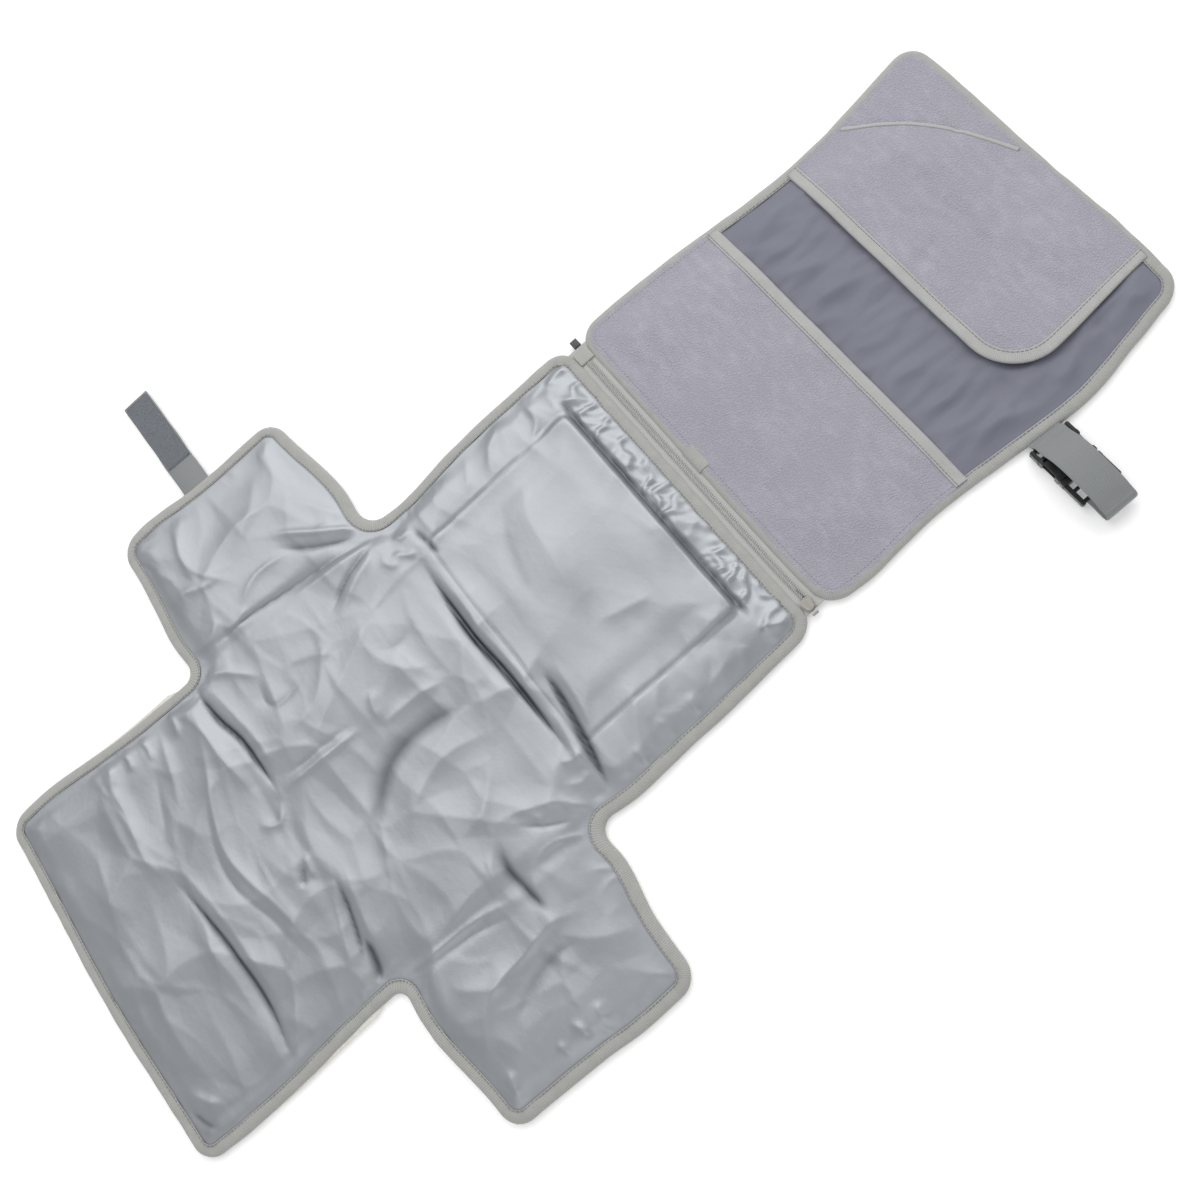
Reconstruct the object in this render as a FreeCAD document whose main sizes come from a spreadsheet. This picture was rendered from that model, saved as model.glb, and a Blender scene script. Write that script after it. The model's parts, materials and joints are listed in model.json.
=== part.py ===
"""Fold-out changing pad: a padded mat with two side wings, zipped to a clutch with pockets.

Frame: +Z up, +X across the pad along the zipper, +Y from the mat towards the clutch's far edge.
The zipper runs along Y = 0 and the flat underside lies in Z = 0 while the pieces are made.
Every piece is then shifted in Y, so that the origin ends up under the middle of the laid-out pad.
Sizes are in millimetres.
"""
import math
import os
import re

import FreeCAD
import Part
import Sketcher

Vector = FreeCAD.Vector

DRIVING = {
    # panels
    "half_width": 146.0,        # zipper line to side edge, mat head and clutch
    "foot_flare": 1.0,          # how much wider each side of the foot is at its fold
    "foot_flare_end": 7.0,      # the same at its free end
    "wing_tuck": 6.0,           # side edge inwards to the fold of a wing
    "wing_depth": 133.0,        # fold of a wing to its outer edge
    "head_length": 198.0,       # zipper to the fold between head and centre
    "centre_length": 197.0,     # that fold to the one between centre and foot
    "foot_length": 189.0,       # that fold to the free end of the mat
    "base_length": 178.0,       # zipper to the fold of the clutch
    "flap_length": 157.0,       # that fold to the far edge of the clutch
    "cover": 0.8,               # cover cloth, shell and lining
    "foam": 3.8,
    "tape": 0.7,                # edge binding cloth
    "band": 9.5,                # visible width of the edge binding
    "fit": 0.3,                 # gap beside a binding
    "split": 0.2,               # half of the gap between two panels at a fold
    "head_round": 18.0,
    "clutch_round": 19.0,
    "flap_round": 20.0,
    "foot_round": 16.0,
    "wing_round": 17.0,
    "notch_round": 19.0,
    "notch_round_low": 11.0,
    "notch_run": 1.0,           # straight edge between a notch's curve and the fold beside it
    "past": 1.0,                # how far a cutting piece runs past what it cuts
    # pillow
    "pillow_side": 47.0,        # side edge to the stitched rectangle
    "pillow_start": 37.0,       # zipper to the stitched rectangle
    "pillow_foot": 16.0,        # stitched rectangle to the fold
    "pillow_rise": 5.0,
    "pillow_round": 7.0,
    # pockets
    "terry": 1.2,
    "edging": 0.6,
    "edging_band": 9.0,
    "pocket_gap": 5.4,
    "mouth_inset": 42.0,        # mouth of the lower pocket to the fold of the clutch
    "flap_mouth_inset": 22.0,   # that fold to the mouth of the flap pocket
    "flap_side_inset": 38.0,    # right edge to the free side of the flap pocket
    "flap_curve": 40.0,
    "side_entry_down": 85.0,    # far edge to where the curved hem meets the left edge
    "side_entry_across": 126.0, # left edge to where it meets the far edge
    "side_entry_bulge": 8.0,
    "back_down": 16.0,          # side entry to the back layer's lower edge
    "back_along": 40.0,         # straight part of that edge
    "back_across": 18.0,        # side entry to the back layer's right edge
    "back_right_down": 24.0,    # straight part of that edge
    # zipper
    "zip_gap": 5.5,             # zipper line to either binding
    "zip_short": 9.0,           # side edge to the end of the zipper tape
    "zip_tape": 0.6,
    "zip_level": 3.6,           # underside of the zipper tape
    "coil_width": 1.9,
    "coil_rise": 1.4,
    "coil_part": 0.6,           # zipper line to either coil
    "coil_start": 16.0,         # left end of the tape to the first turn of the coil
    "stop_length": 1.8,
    "stop_lap": 1.0,            # part of the end stop that lies on the tape
    "end_fold_start": 3.0,      # left end of the tape to the folded end piece
    "end_fold_length": 12.0,
    "end_fold_thick": 1.2,
    "pin_box_length": 7.0,
    "pin_box_side": 1.6,        # zipper line to the box's edge on the mat's side
    "pin_box_inset": 1.0,       # binding of the clutch to its edge there
    "pin_box_below": 0.6,
    "pin_box_above": 0.8,
    "slider_home": 8.0,         # end of the tape to the middle of the slider
    "slider_length": 10.0,
    "slider_half": 4.2,
    "slider_plate": 0.8,
    "slider_air": 0.3,
    "web_back": 1.5,            # middle of the slider to either end of its web
    "web_front": 3.0,
    "web_air": 0.25,
    "ear_start": 1.0,           # middle of the slider to either end of its ears
    "ear_end": 4.0,
    "ear_air": 0.25,
    "ear_thick": 1.0,
    "pin_out": 2.5,             # middle of the slider to the pin of the pull
    "pin_radius": 0.36,
    "pin_hole": 0.42,
    "pin_reach": 1.1,           # how far the pin runs into either ear and past it
    "pull_length": 17.0,
    "pull_half": 2.6,
    "pull_thick": 0.9,
    "pull_low": 0.35,           # underside of the hanging pull
    "pull_nose": 0.7,           # pin to the pull's near end
    # hook tab
    "tab_width": 25.0,
    "tab_down": 102.0,          # fold of the head to the middle of the tab
    "tab_length": 103.0,
    "tab_bare": 27.0,
    "tab_low": 2.6,
    "hook_end": 2.0,            # end of the tab to the end of the hook patch
    "hook_side": 1.0,           # side of the tab to the side of the patch
    "webbing": 1.3,
    "hook_thick": 1.2,
    "swing_air": 0.4,           # between a hanging piece and the edge it swings on
    # hanging loop
    "strap_out": 15.0,          # fold of the clutch to the middle of the strap
    "strap_width": 25.0,
    "strap_reach": 72.0,        # side edge to the end of the loop
    "strap_root": 4.2,
    "strap_peak": 21.0,
    "strap_peak_out": 4.0,      # middle of the upper run to its highest point
    "strap_end_out": 4.0,       # upper run's end to the outside of the bend
    "strap_shoulder": 8.0,      # buckle's bars to the upper run's end
    "buckle_width": 33.0,
    "buckle_low": 0.7,
    "buckle_thick": 9.0,
    "buckle_wall": 1.5,
    "socket_out": 4.0,          # side edge to the buckle
    "socket_length": 28.0,
    "plate_length": 22.0,
    "male_air": 0.3,
    "prong_length": 15.0,
    "prong_thick": 2.2,
    "prong_half": 2.2,          # half of a prong's height
    "prong_air": 0.9,           # wall of the socket to a prong
    "bar_radius": 1.3,
    "bar_end": 1.2,             # end of the socket to its bar
    "bar_wall": 2.5,            # slot of the webbing to the socket's room
    "anchor_side": 1.0,         # how much narrower the anchor is on each side
    "slot_side": 0.6,           # side of the webbing to the side of its slot
    "slot_wall": 1.4,
    "window_start": 1.5,
    "window_end": 5.0,
    "window_lip": 0.3,
    "plate_lip": 0.8,           # socket's top to the tongue plate's top
    "plate_solid": 5.0,
    "tongue_half": 3.0,
    "tongue_rise": 1.6,
}

DERIVED = {
    "panel_top": "(2 * cover + foam)",
    "foot_half": "(half_width + foot_flare)",
    "foot_half_end": "(half_width + foot_flare_end)",
    "wing_fold": "(half_width - wing_tuck)",
    "wing_reach": "(wing_fold + wing_depth)",
    "fold_a": "head_length",
    "fold_b": "(head_length + centre_length)",
    "mat_length": "(fold_b + foot_length)",
    "flap_fold": "base_length",
    "clutch_end": "(base_length + flap_length)",
    "wing_top": "(fold_a + notch_round + notch_run)",
    "wing_bottom": "(fold_b - notch_round_low - notch_run)",
    "pillow_half": "(half_width - pillow_side)",
    "pillow_end": "(head_length - pillow_foot)",
    "mouth": "(base_length - mouth_inset)",
    "flap_mouth": "(base_length + flap_mouth_inset)",
    "flap_side": "(half_width - flap_side_inset)",
    "side_entry_left": "(clutch_end - side_entry_down)",
    "side_entry_far": "(half_width - side_entry_across)",
    "zip_half": "(half_width - zip_short)",
    "slider_rest": "(zip_half - slider_home)",
    "tab_middle": "(head_length + tab_down)",
    "strap_middle": "(base_length + strap_out)",
    "strap_end": "(half_width + strap_reach)",
    "female_start": "(half_width + socket_out)",
    "female_end": "(female_start + socket_length)",
    "male_end": "(female_end + plate_length)",
    "inner_half": "(half_width - band - fit)",
    "inner_far": "(clutch_end - band - fit)",
    "inner_near": "(zip_gap + band + fit)",
    "shift": "((mat_length - clutch_end) / 2)",
    "pocket_low": "(panel_top + pocket_gap)",
    "coil_top": "(zip_level + zip_tape + coil_rise)",
    "buckle_top": "(buckle_low + buckle_thick)",
    "bar_level": "(buckle_low + buckle_thick / 2)",
    "tape_top": "(zip_level + zip_tape)",
    "pin_x": "(slider_rest + pin_out)",
    "pin_level": "(pull_low + pull_thick / 2)",
    "near_bar": "(female_start + bar_radius + bar_end)",
    "far_bar": "(male_end - bar_radius * 2)",
    "socket_start": "(female_start + 3 * bar_radius + webbing + bar_wall)",
}

ZERO = "0 * cover"

doc = FreeCAD.newDocument("ChangingPad")
sheet = doc.addObject("Spreadsheet::Sheet", "Sizes")
for row, (word, number) in enumerate(DRIVING.items(), start=1):
    sheet.set("A%d" % row, word)
    sheet.set("B%d" % row, str(number))
    sheet.setAlias("B%d" % row, word)
doc.recompute()

exports = []


def bound(text):
    """An expression on the sheet's cells, from one that names sizes in plain words."""
    while True:
        opened = re.sub(r"[a-z_]+", lambda word: DERIVED.get(word.group(), word.group()), text)
        if opened == text:
            return re.sub(r"(?<![.\w])[a-z_]+", lambda word: "Sizes." + word.group(), text)
        text = opened


def mm(text):
    return float(sheet.evalExpression(bound(text)))


def bind(thing, prop, text):
    thing.setExpression(prop, bound(text))


def keep(thing, label):
    """Name a finished piece and list it among the pieces to save."""
    thing.Label = label
    exports.append(thing)
    return thing


# ---------------------------------------------------------------- building blocks

def origin_plane(body):
    return next(item for item in body.Origin.OriginFeatures if item.Role == "XY_Plane")


def outline_sketch(body, points):
    """A closed outline whose corners are bound to the sheet."""
    sketch = body.newObject("Sketcher::SketchObject", body.Name + "_outline")
    sketch.AttachmentSupport = (origin_plane(body), [""])
    sketch.MapMode = "FlatFace"
    places = [Vector(mm(x), mm(y), 0) for x, y in points]
    count = len(places)
    for index, place in enumerate(places):
        sketch.addGeometry(Part.LineSegment(place, places[(index + 1) % count]), False)
    for index in range(count):
        sketch.addConstraint(Sketcher.Constraint("Coincident", index, 2, (index + 1) % count, 1))
    for index, (x, y) in enumerate(points):
        for kind, text in (("DistanceX", x), ("DistanceY", y)):
            rule = Sketcher.Constraint(kind, -1, 1, index, 1, mm(text))
            number = sketch.addConstraint(rule)
            sketch.setExpression("Constraints[%d]" % number, bound(text))
    return sketch


def corner_edges(shape, place):
    """Names of the upright edges that stand on one corner of an outline."""
    names = []
    for number, edge in enumerate(shape.Edges, start=1):
        start, end = edge.firstVertex().Point, edge.lastVertex().Point
        upright = abs(start.x - end.x) + abs(start.y - end.y) < 1e-6
        if upright and math.hypot(start.x - place.x, start.y - place.y) < 1e-3:
            names.append("Edge%d" % number)
    return names


def plate(name, points, low, thick, rounds=None):
    """A flat piece: an outline, its underside, its thickness and its rounded corners."""
    body = doc.addObject("PartDesign::Body", name)
    sketch = outline_sketch(body, points)
    solid = body.newObject("PartDesign::Pad", name + "_pad")
    solid.Profile = sketch
    bind(solid, "Length", thick)
    doc.recompute()
    for index, radius in (rounds or {}).items():
        place = Vector(mm(points[index][0]), mm(points[index][1]), 0)
        edges = corner_edges(solid.Shape, place)
        fillet = body.newObject("PartDesign::Fillet", name + "_round%d" % index)
        fillet.Base = (solid, edges)
        bind(fillet, "Radius", radius)
        doc.recompute()
        solid = fillet
    bind(body, "Placement.Base.z", low)
    bind(body, "Placement.Base.y", "shift")
    return body


def box(name, xs, ys, zs):
    """A block between two values on each axis."""
    block = doc.addObject("Part::Box", name)
    sides = (("x", "Length", xs), ("y", "Width", ys), ("z", "Height", zs))
    for axis, side, (low, high) in sides:
        lift = " + shift" if axis == "y" else ""
        bind(block, "Placement.Base." + axis, "(%s)%s" % (low, lift))
        bind(block, side, "(%s) - (%s)" % (high, low))
    return block


def rod(name, radius, middle, length_y):
    """A round bar along Y, centred on its middle point."""
    bar = doc.addObject("Part::Cylinder", name)
    x, y, z = middle
    bind(bar, "Radius", radius)
    bind(bar, "Height", length_y)
    bar.Placement.Rotation = FreeCAD.Rotation(Vector(1, 0, 0), -90)
    bind(bar, "Placement.Base.x", x)
    bind(bar, "Placement.Base.y", "(%s) - (%s) / 2 + shift" % (y, length_y))
    bind(bar, "Placement.Base.z", z)
    return bar


def join(name, parts):
    fused = doc.addObject("Part::MultiFuse", name)
    fused.Shapes = parts
    return fused


def cut(name, base, tools):
    result = doc.addObject("Part::Cut", name)
    result.Base = base
    result.Tool = tools[0] if len(tools) == 1 else join(name + "_tools", tools)
    return result


def drawn(name, edges, direction):
    """A piece drawn as one closed line and extruded, for outlines that need arcs."""
    thing = doc.addObject("Part::Feature", name)
    thing.Shape = Part.Face(Part.Wire(edges)).extrude(direction)
    thing.Placement = FreeCAD.Placement(Vector(0, mm("shift"), 0), FreeCAD.Rotation())
    return thing


# ---------------------------------------------------------------- outlines of the panels
# Each takes how far it lies inside the outer edge, and how far it stops short of the fold.

def head_outline(inset, short):
    side = "half_width - (%s)" % inset
    near = "-(zip_gap + %s)" % inset
    far = "-(fold_a - (%s))" % short
    points = [("-(%s)" % side, far), (side, far), (side, near), ("-(%s)" % side, near)]
    radius = "head_round - (%s)" % inset
    return points, {2: radius, 3: radius}


def centre_outline(inset, short):
    side = "wing_fold - (%s)" % short
    near = "-(fold_a + %s)" % short
    far = "-(fold_b - (%s))" % short
    return [("-(%s)" % side, far), (side, far), (side, near), ("-(%s)" % side, near)], {}


def foot_outline(inset, short):
    end = "foot_half_end - (%s)" % inset
    start = "foot_half - (%s)" % inset
    far = "-(mat_length - (%s))" % inset
    near = "-(fold_b + (%s))" % short
    points = [("-(%s)" % end, far), (end, far), (start, near), ("-(%s)" % start, near)]
    radius = "foot_round - (%s)" % inset
    return points, {0: radius, 1: radius}


def wing_outline(side, inset, short, notched=True):
    """One wing; the notched outline follows the hollow curves where the wing leaves the mat."""
    sign = "-" if side < 0 else ""
    hinge = sign + "(wing_fold + (%s))" % short
    outer = sign + "(wing_reach - (%s))" % inset
    neck = sign + "(half_width - (%s))" % inset
    top = "-(wing_top + %s)" % inset
    bottom = "-(wing_bottom - (%s))" % inset
    radius = "wing_round - (%s)" % inset
    if not notched:
        points = [(hinge, top), (outer, top), (outer, bottom), (hinge, bottom)]
        return points, {1: radius, 2: radius}
    start = "-(fold_a + split)"
    end = "-(fold_b - split)"
    points = [(hinge, start), (neck, start), (neck, top), (outer, top),
              (outer, bottom), (neck, bottom), (neck, end), (hinge, end)]
    rounds = {2: "notch_round + (%s) - split" % inset, 3: radius, 4: radius,
              5: "notch_round_low + (%s) - split" % inset}
    return points, rounds


def base_outline(inset, short):
    side = "half_width - (%s)" % inset
    near = "zip_gap + %s" % inset
    far = "flap_fold - (%s)" % short
    points = [("-(%s)" % side, near), (side, near), (side, far), ("-(%s)" % side, far)]
    radius = "clutch_round - (%s)" % inset
    return points, {0: radius, 1: radius}


def flap_outline(inset, short):
    side = "half_width - (%s)" % inset
    near = "flap_fold + (%s)" % short
    far = "clutch_end - (%s)" % inset
    points = [("-(%s)" % side, near), (side, near), (side, far), ("-(%s)" % side, far)]
    radius = "flap_round - (%s)" % inset
    return points, {2: radius, 3: radius}


# ---------------------------------------------------------------- padded panels

def filling(name, outline):
    points, rounds = outline
    return keep(plate(name, points, "cover", "foam", rounds), name)


def cloth(name, outline, low):
    points, rounds = outline
    return keep(plate(name, points, low, "cover", rounds), name)


def binding(name, outer, window, core):
    """A folded tape round the free edges: a C section open towards the panel."""
    points, rounds = outer
    solid = plate(name + "_solid", points, ZERO, "panel_top", rounds)
    points, rounds = window
    hole = plate(name + "_window", points, "-cover", "panel_top + 2 * cover", rounds)
    points, rounds = core
    slot = plate(name + "_core", points, "tape", "panel_top - 2 * tape", rounds)
    return keep(cut(name, solid, [hole, slot]), name)


def panel(name, outline, top_name, back_name):
    """Foam, two cloths and a binding; the tape's cloth covers the foam's edge."""
    filling(name + "_foam", outline("tape + fit", "split"))
    cloth(name + back_name, outline("band + fit", "split"), ZERO)
    binding(name + "_binding", outline(ZERO, "split"), outline("band", "-past"), outline("tape", "-past"))
    if top_name:
        cloth(name + top_name, outline("band + fit", "split"), "cover + foam")


def wing(name, side):
    filling(name + "_foam", wing_outline(side, "tape + fit", "split"))
    trimmed = wing_outline(side, "band + fit", "split", notched=False)
    cloth(name + "_top_cover", trimmed, "cover + foam")
    cloth(name + "_back_cover", trimmed, ZERO)
    binding(name + "_binding", wing_outline(side, ZERO, "split"),
            wing_outline(side, "band", "-past", notched=False), wing_core(side))


def wing_core(side):
    """The room inside a wing's binding, run past the three cut edges."""
    points, rounds = wing_outline(side, "tape", "-past")
    run_out = "-(fold_a - past)"
    run_in = "-(fold_b + past)"
    points[0], points[1] = (points[0][0], run_out), (points[1][0], run_out)
    points[6], points[7] = (points[6][0], run_in), (points[7][0], run_in)
    return points, rounds


def pillow():
    """The raised head rest: a foam block under the top cover's stitched rectangle."""
    def rectangle(inset):
        side = "pillow_half - (%s)" % inset
        near = "-(pillow_start + %s)" % inset
        far = "-(pillow_end - (%s))" % inset
        points = [("-(%s)" % side, far), (side, far), (side, near), ("-(%s)" % side, near)]
        radius = "pillow_round - (%s)" % inset
        return points, {0: radius, 1: radius, 2: radius, 3: radius}

    low = "cover + foam"
    points, rounds = head_outline("band + fit", "split")
    sheet_piece = plate("head_cover_sheet", points, low, "cover", rounds)
    points, rounds = rectangle(ZERO)
    raised = plate("head_cover_raised", points, low, "cover + pillow_rise", rounds)
    points, rounds = rectangle("cover")
    room = plate("head_cover_room", points, low, "pillow_rise", rounds)
    cover = join("head_cover_both", [sheet_piece, raised])
    keep(cut("mat_head_top_cover", cover, [room]), "mat_head_top_cover")
    keep(plate("mat_head_pillow_foam", points, low, "pillow_rise", rounds), "mat_head_pillow_foam")


# ---------------------------------------------------------------- pockets

def lower_pocket():
    """A terry pocket on the clutch's near half, open along its far edge."""
    side = "inner_half"
    points = [("-" + side, "inner_near"), (side, "inner_near"), (side, "mouth"), ("-" + side, "mouth")]
    radius = "clutch_round - band - fit"
    outer = plate("lower_pocket_outer", points, "panel_top", "pocket_gap + terry",
                  {0: radius, 1: radius})
    wall = side + " - terry"
    points = [("-(%s)" % wall, "inner_near + terry"), (wall, "inner_near + terry"),
              (wall, "mouth + past"), ("-(%s)" % wall, "mouth + past")]
    radius = "clutch_round - band - fit - terry"
    room = plate("lower_pocket_room", points, "panel_top - past", "pocket_gap + past",
                 {0: radius, 1: radius})
    keep(cut("lower_pocket", outer, [room]), "lower_pocket")
    inner = "(inner_half - terry - fit)"
    strip = box("lower_edging_strip", ("-" + inner, inner), ("mouth - edging_band", "mouth + edging"),
                ("pocket_low - edging", "pocket_low + terry + edging"))
    slot = box("lower_edging_slot", ("-" + inner + " - past", inner + " + past"),
               ("mouth - edging_band - past", "mouth"), ("pocket_low", "pocket_low + terry"))
    keep(cut("lower_pocket_edging", strip, [slot]), "lower_pocket_edging")


def rounded_step(low_x, low_y, high_x, high_y, radius, level):
    """The two free edges of the flap pocket: along the bottom, round the corner, up the side."""
    turn = Vector(high_x - radius, low_y + radius, level)
    middle = turn + Vector(radius, -radius, 0) * math.sqrt(0.5)
    start = Vector(low_x, low_y, level)
    corner_in = Vector(turn.x, low_y, level)
    corner_out = Vector(high_x, turn.y, level)
    end = Vector(high_x, high_y, level)
    return [Part.LineSegment(start, corner_in).toShape(),
            Part.Arc(corner_in, middle, corner_out).toShape(),
            Part.LineSegment(corner_out, end).toShape()]


def side_entry(level):
    """The curved hem at the flap pocket's far left corner, from the far edge to the left edge."""
    start = Vector(-mm("side_entry_far"), mm("inner_far"), level)
    end = Vector(-mm("inner_half"), mm("side_entry_left"), level)
    along = (end - start).normalize()
    outwards = Vector(along.y, -along.x, 0)
    middle = (start + end) * 0.5 + outwards * mm("side_entry_bulge")
    return Part.Arc(start, middle, end).toShape()


def flap_pocket_edges(level):
    """The flap pocket's closed outline."""
    left, low = -mm("inner_half"), mm("flap_mouth")
    right, far = mm("flap_side"), mm("inner_far")
    entry = side_entry(level)
    entry_start, entry_end = entry.firstVertex().Point, entry.lastVertex().Point
    return rounded_step(left, low, right, far, mm("flap_curve"), level) + [
        Part.LineSegment(Vector(right, far, level), entry_start).toShape(),
        entry,
        Part.LineSegment(entry_end, Vector(left, low, level)).toShape()]


def flap_pocket():
    """The terry pocket on the clutch's flap: free below and right, with a curved side entry."""
    face = drawn("flap_pocket_face", flap_pocket_edges(mm("pocket_low")), Vector(0, 0, mm("terry")))
    left_seam = box("flap_pocket_left_seam", ("-inner_half", "-inner_half + terry"),
                    ("flap_mouth + edging_band", "side_entry_left"), ("panel_top", "pocket_low"))
    far_seam = box("flap_pocket_far_seam", ("-side_entry_far", "flap_side - edging_band"),
                   ("inner_far - terry", "inner_far"), ("panel_top", "pocket_low"))
    keep(join("flap_pocket", [face, left_seam, far_seam]), "flap_pocket")


def flap_pocket_edging():
    """The bound edge round the flap pocket's free sides, as a folded tape."""
    tape, width = mm("edging"), mm("edging_band")
    level = mm("pocket_low")
    under = level - tape
    left, low = -mm("inner_half"), mm("flap_mouth")
    right, far = mm("flap_side"), mm("inner_far")
    outer = rounded_step(left, low - tape, right + tape, far, mm("flap_curve") + tape, under)
    inner = rounded_step(left, low + width, right - width, far, mm("flap_curve") - width, under)
    ends = [Part.LineSegment(outer[-1].lastVertex().Point, inner[-1].lastVertex().Point).toShape(),
            Part.LineSegment(inner[0].firstVertex().Point, outer[0].firstVertex().Point).toShape()]
    strip = drawn("flap_edging_strip", Part.__sortEdges__(outer + inner + ends),
                  Vector(0, 0, mm("terry") + 2 * tape))
    slab = drawn("flap_edging_slab", flap_pocket_edges(level), Vector(0, 0, mm("terry")))
    keep(cut("flap_pocket_edging", strip, [slab]), "flap_pocket_edging")


def flap_pocket_back():
    """The terry under the side entry, cut round the pocket's two seams."""
    lower, right = "side_entry_left - back_down", "-side_entry_far + back_across"
    points = [("-inner_half", lower), ("-inner_half + back_along", lower),
              (right, "inner_far - back_right_down"), (right, "inner_far"), ("-inner_half", "inner_far")]
    back = plate("flap_pocket_back", points, "panel_top", "terry", {4: "flap_round - band - fit"})
    level = ("panel_top - past", "pocket_low")
    rooms = [box("back_left_room", ("-inner_half - past", "-inner_half + terry"),
                 ("flap_mouth", "side_entry_left"), level),
             box("back_far_room", ("-side_entry_far", "flap_side"),
                 ("inner_far - terry", "inner_far + past"), level)]
    keep(cut("flap_pocket_back_layer", back, rooms), "flap_pocket_back_layer")


# ---------------------------------------------------------------- zipper

def zip_half(name, edge, turned):
    """One tape and its coil, on one side of the zipper line."""
    tape_side = ("coil_part", edge)
    coil_side = ("coil_part", "coil_part + coil_width")
    if turned:
        tape_side = ("-(%s)" % edge, "-coil_part")
        coil_side = ("-(coil_part + coil_width)", "-coil_part")
    tape = "zip_tape_%s_side" % name
    coil = "zip_coil_%s_side" % name
    keep(box(tape, ("-zip_half", "zip_half"), tape_side, ("zip_level", "tape_top")), tape)
    keep(box(coil, ("-zip_half + coil_start", "zip_half - stop_lap"), coil_side,
             ("tape_top", "coil_top")), coil)


def zipper():
    """Two tapes and two coils, closed, with the end pieces."""
    zip_half("clutch", "zip_gap", False)
    zip_half("mat", "zip_gap - fit", True)
    start = "-zip_half + end_fold_start"
    keep(box("zip_end_fold", (start, start + " + end_fold_length"), ("-zip_gap + fit", "zip_gap"),
             ("tape_top", "tape_top + end_fold_thick")), "zip_end_fold")
    keep(box("zip_pin_box", ("-zip_half - pin_box_length", "-zip_half"),
             ("-pin_box_side", "zip_gap - pin_box_inset"),
             ("zip_level - pin_box_below", "tape_top + pin_box_above")), "zip_pin_box")
    keep(box("zip_end_stop", ("zip_half - stop_lap", "zip_half - stop_lap + stop_length"),
             ("-coil_part - coil_width", "coil_part + coil_width"), ("tape_top", "coil_top")), "zip_end_stop")


def slider():
    """Two plates joined by a web that runs between the coils, with ears for the pull below."""
    xs = ("slider_rest - slider_length / 2", "slider_rest + slider_length / 2")
    ys = ("-slider_half", "slider_half")
    under = "zip_level - slider_air"
    top = "coil_top + slider_air"
    plates = [box("slider_upper", xs, ys, (top, top + " + slider_plate")),
              box("slider_lower", xs, ys, (under + " - slider_plate", under)),
              box("slider_web", ("slider_rest - web_back", "slider_rest + web_front"),
                  ("-coil_part + web_air", "coil_part - web_air"),
                  (under + " - slider_plate / 2", top + " + slider_plate / 2"))]
    near, far = "pull_half + ear_air", "pull_half + ear_air + ear_thick"
    ear_xs = ("slider_rest + ear_start", "slider_rest + ear_end")
    ear_zs = ("pull_low", under + " - slider_plate")
    plates.append(box("slider_ear_left", ear_xs, ("-(%s)" % far, "-(%s)" % near), ear_zs))
    plates.append(box("slider_ear_right", ear_xs, (near, far), ear_zs))
    solid = join("slider_solid", plates)
    hole = rod("slider_hole", "pin_hole", ("pin_x", ZERO, "pin_level"), "4 * pull_half")
    keep(cut("zip_slider", solid, [hole]), "zip_slider")

    tab = box("pull_tab", ("pin_x - pull_length", "pin_x + pull_nose"), ("-pull_half", "pull_half"),
              ("pull_low", "pull_low + pull_thick"))
    pin = rod("pull_pin", "pin_radius", ("pin_x", ZERO, "pin_level"), "2 * (pull_half + pin_reach)")
    keep(join("zip_pull", [tab, pin]), "zip_pull")


# ---------------------------------------------------------------- hook tab and hanging loop

def hook_tab():
    """A webbing tab on the left wing's edge, with a hook patch sewn on its outer part."""
    low, high = "-(tab_middle + tab_width / 2)", "-(tab_middle - tab_width / 2)"
    outer = "-(wing_reach + tab_length)"
    keep(box("tab_strip", (outer, "-(wing_reach + swing_air)"), (low, high),
             ("tab_low", "tab_low + webbing")), "hook_tab_webbing")
    keep(box("tab_hooks", (outer + " + hook_end", "-(wing_reach + tab_bare)"),
             (low + " + hook_side", high + " - hook_side"),
             ("tab_low + webbing", "tab_low + webbing + hook_thick")), "hook_tab_patch")


def arch(name, marks, thick):
    """Webbing along an arc in the XZ plane through three points, as wide as the strap."""
    low = [Vector(x, 0, z) for x, z in marks]
    high = [Vector(x, 0, z + thick) for x, z in marks]
    edges = [Part.Arc(*low).toShape(), Part.LineSegment(low[2], high[2]).toShape(),
             Part.Arc(*high[::-1]).toShape(), Part.LineSegment(high[0], low[0]).toShape()]
    return strap_wide(name, edges)


def strap_wide(name, edges):
    """A closed line in the XZ plane, extruded to the strap's width and put in its place."""
    thing = doc.addObject("Part::Feature", name)
    thing.Shape = Part.Face(Part.Wire(edges)).extrude(Vector(0, mm("strap_width"), 0))
    across = mm("strap_middle - strap_width / 2 + shift")
    thing.Placement = FreeCAD.Placement(Vector(0, across, 0), FreeCAD.Rotation())
    return thing


def bend(middle, radius, thick):
    """Half a ring of webbing, open towards the pad."""
    up, out = Vector(0, 0, 1), Vector(1, 0, 0)
    outer = Part.Arc(middle + up * radius, middle + out * radius, middle - up * radius).toShape()
    small = radius - thick
    inner = Part.Arc(middle - up * small, middle + out * small, middle + up * small).toShape()
    sides = [Part.LineSegment(middle - up * radius, middle - up * small).toShape(),
             Part.LineSegment(middle + up * small, middle + up * radius).toShape()]
    return strap_wide("strap_bend", [outer, sides[0], inner, sides[1]])


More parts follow.
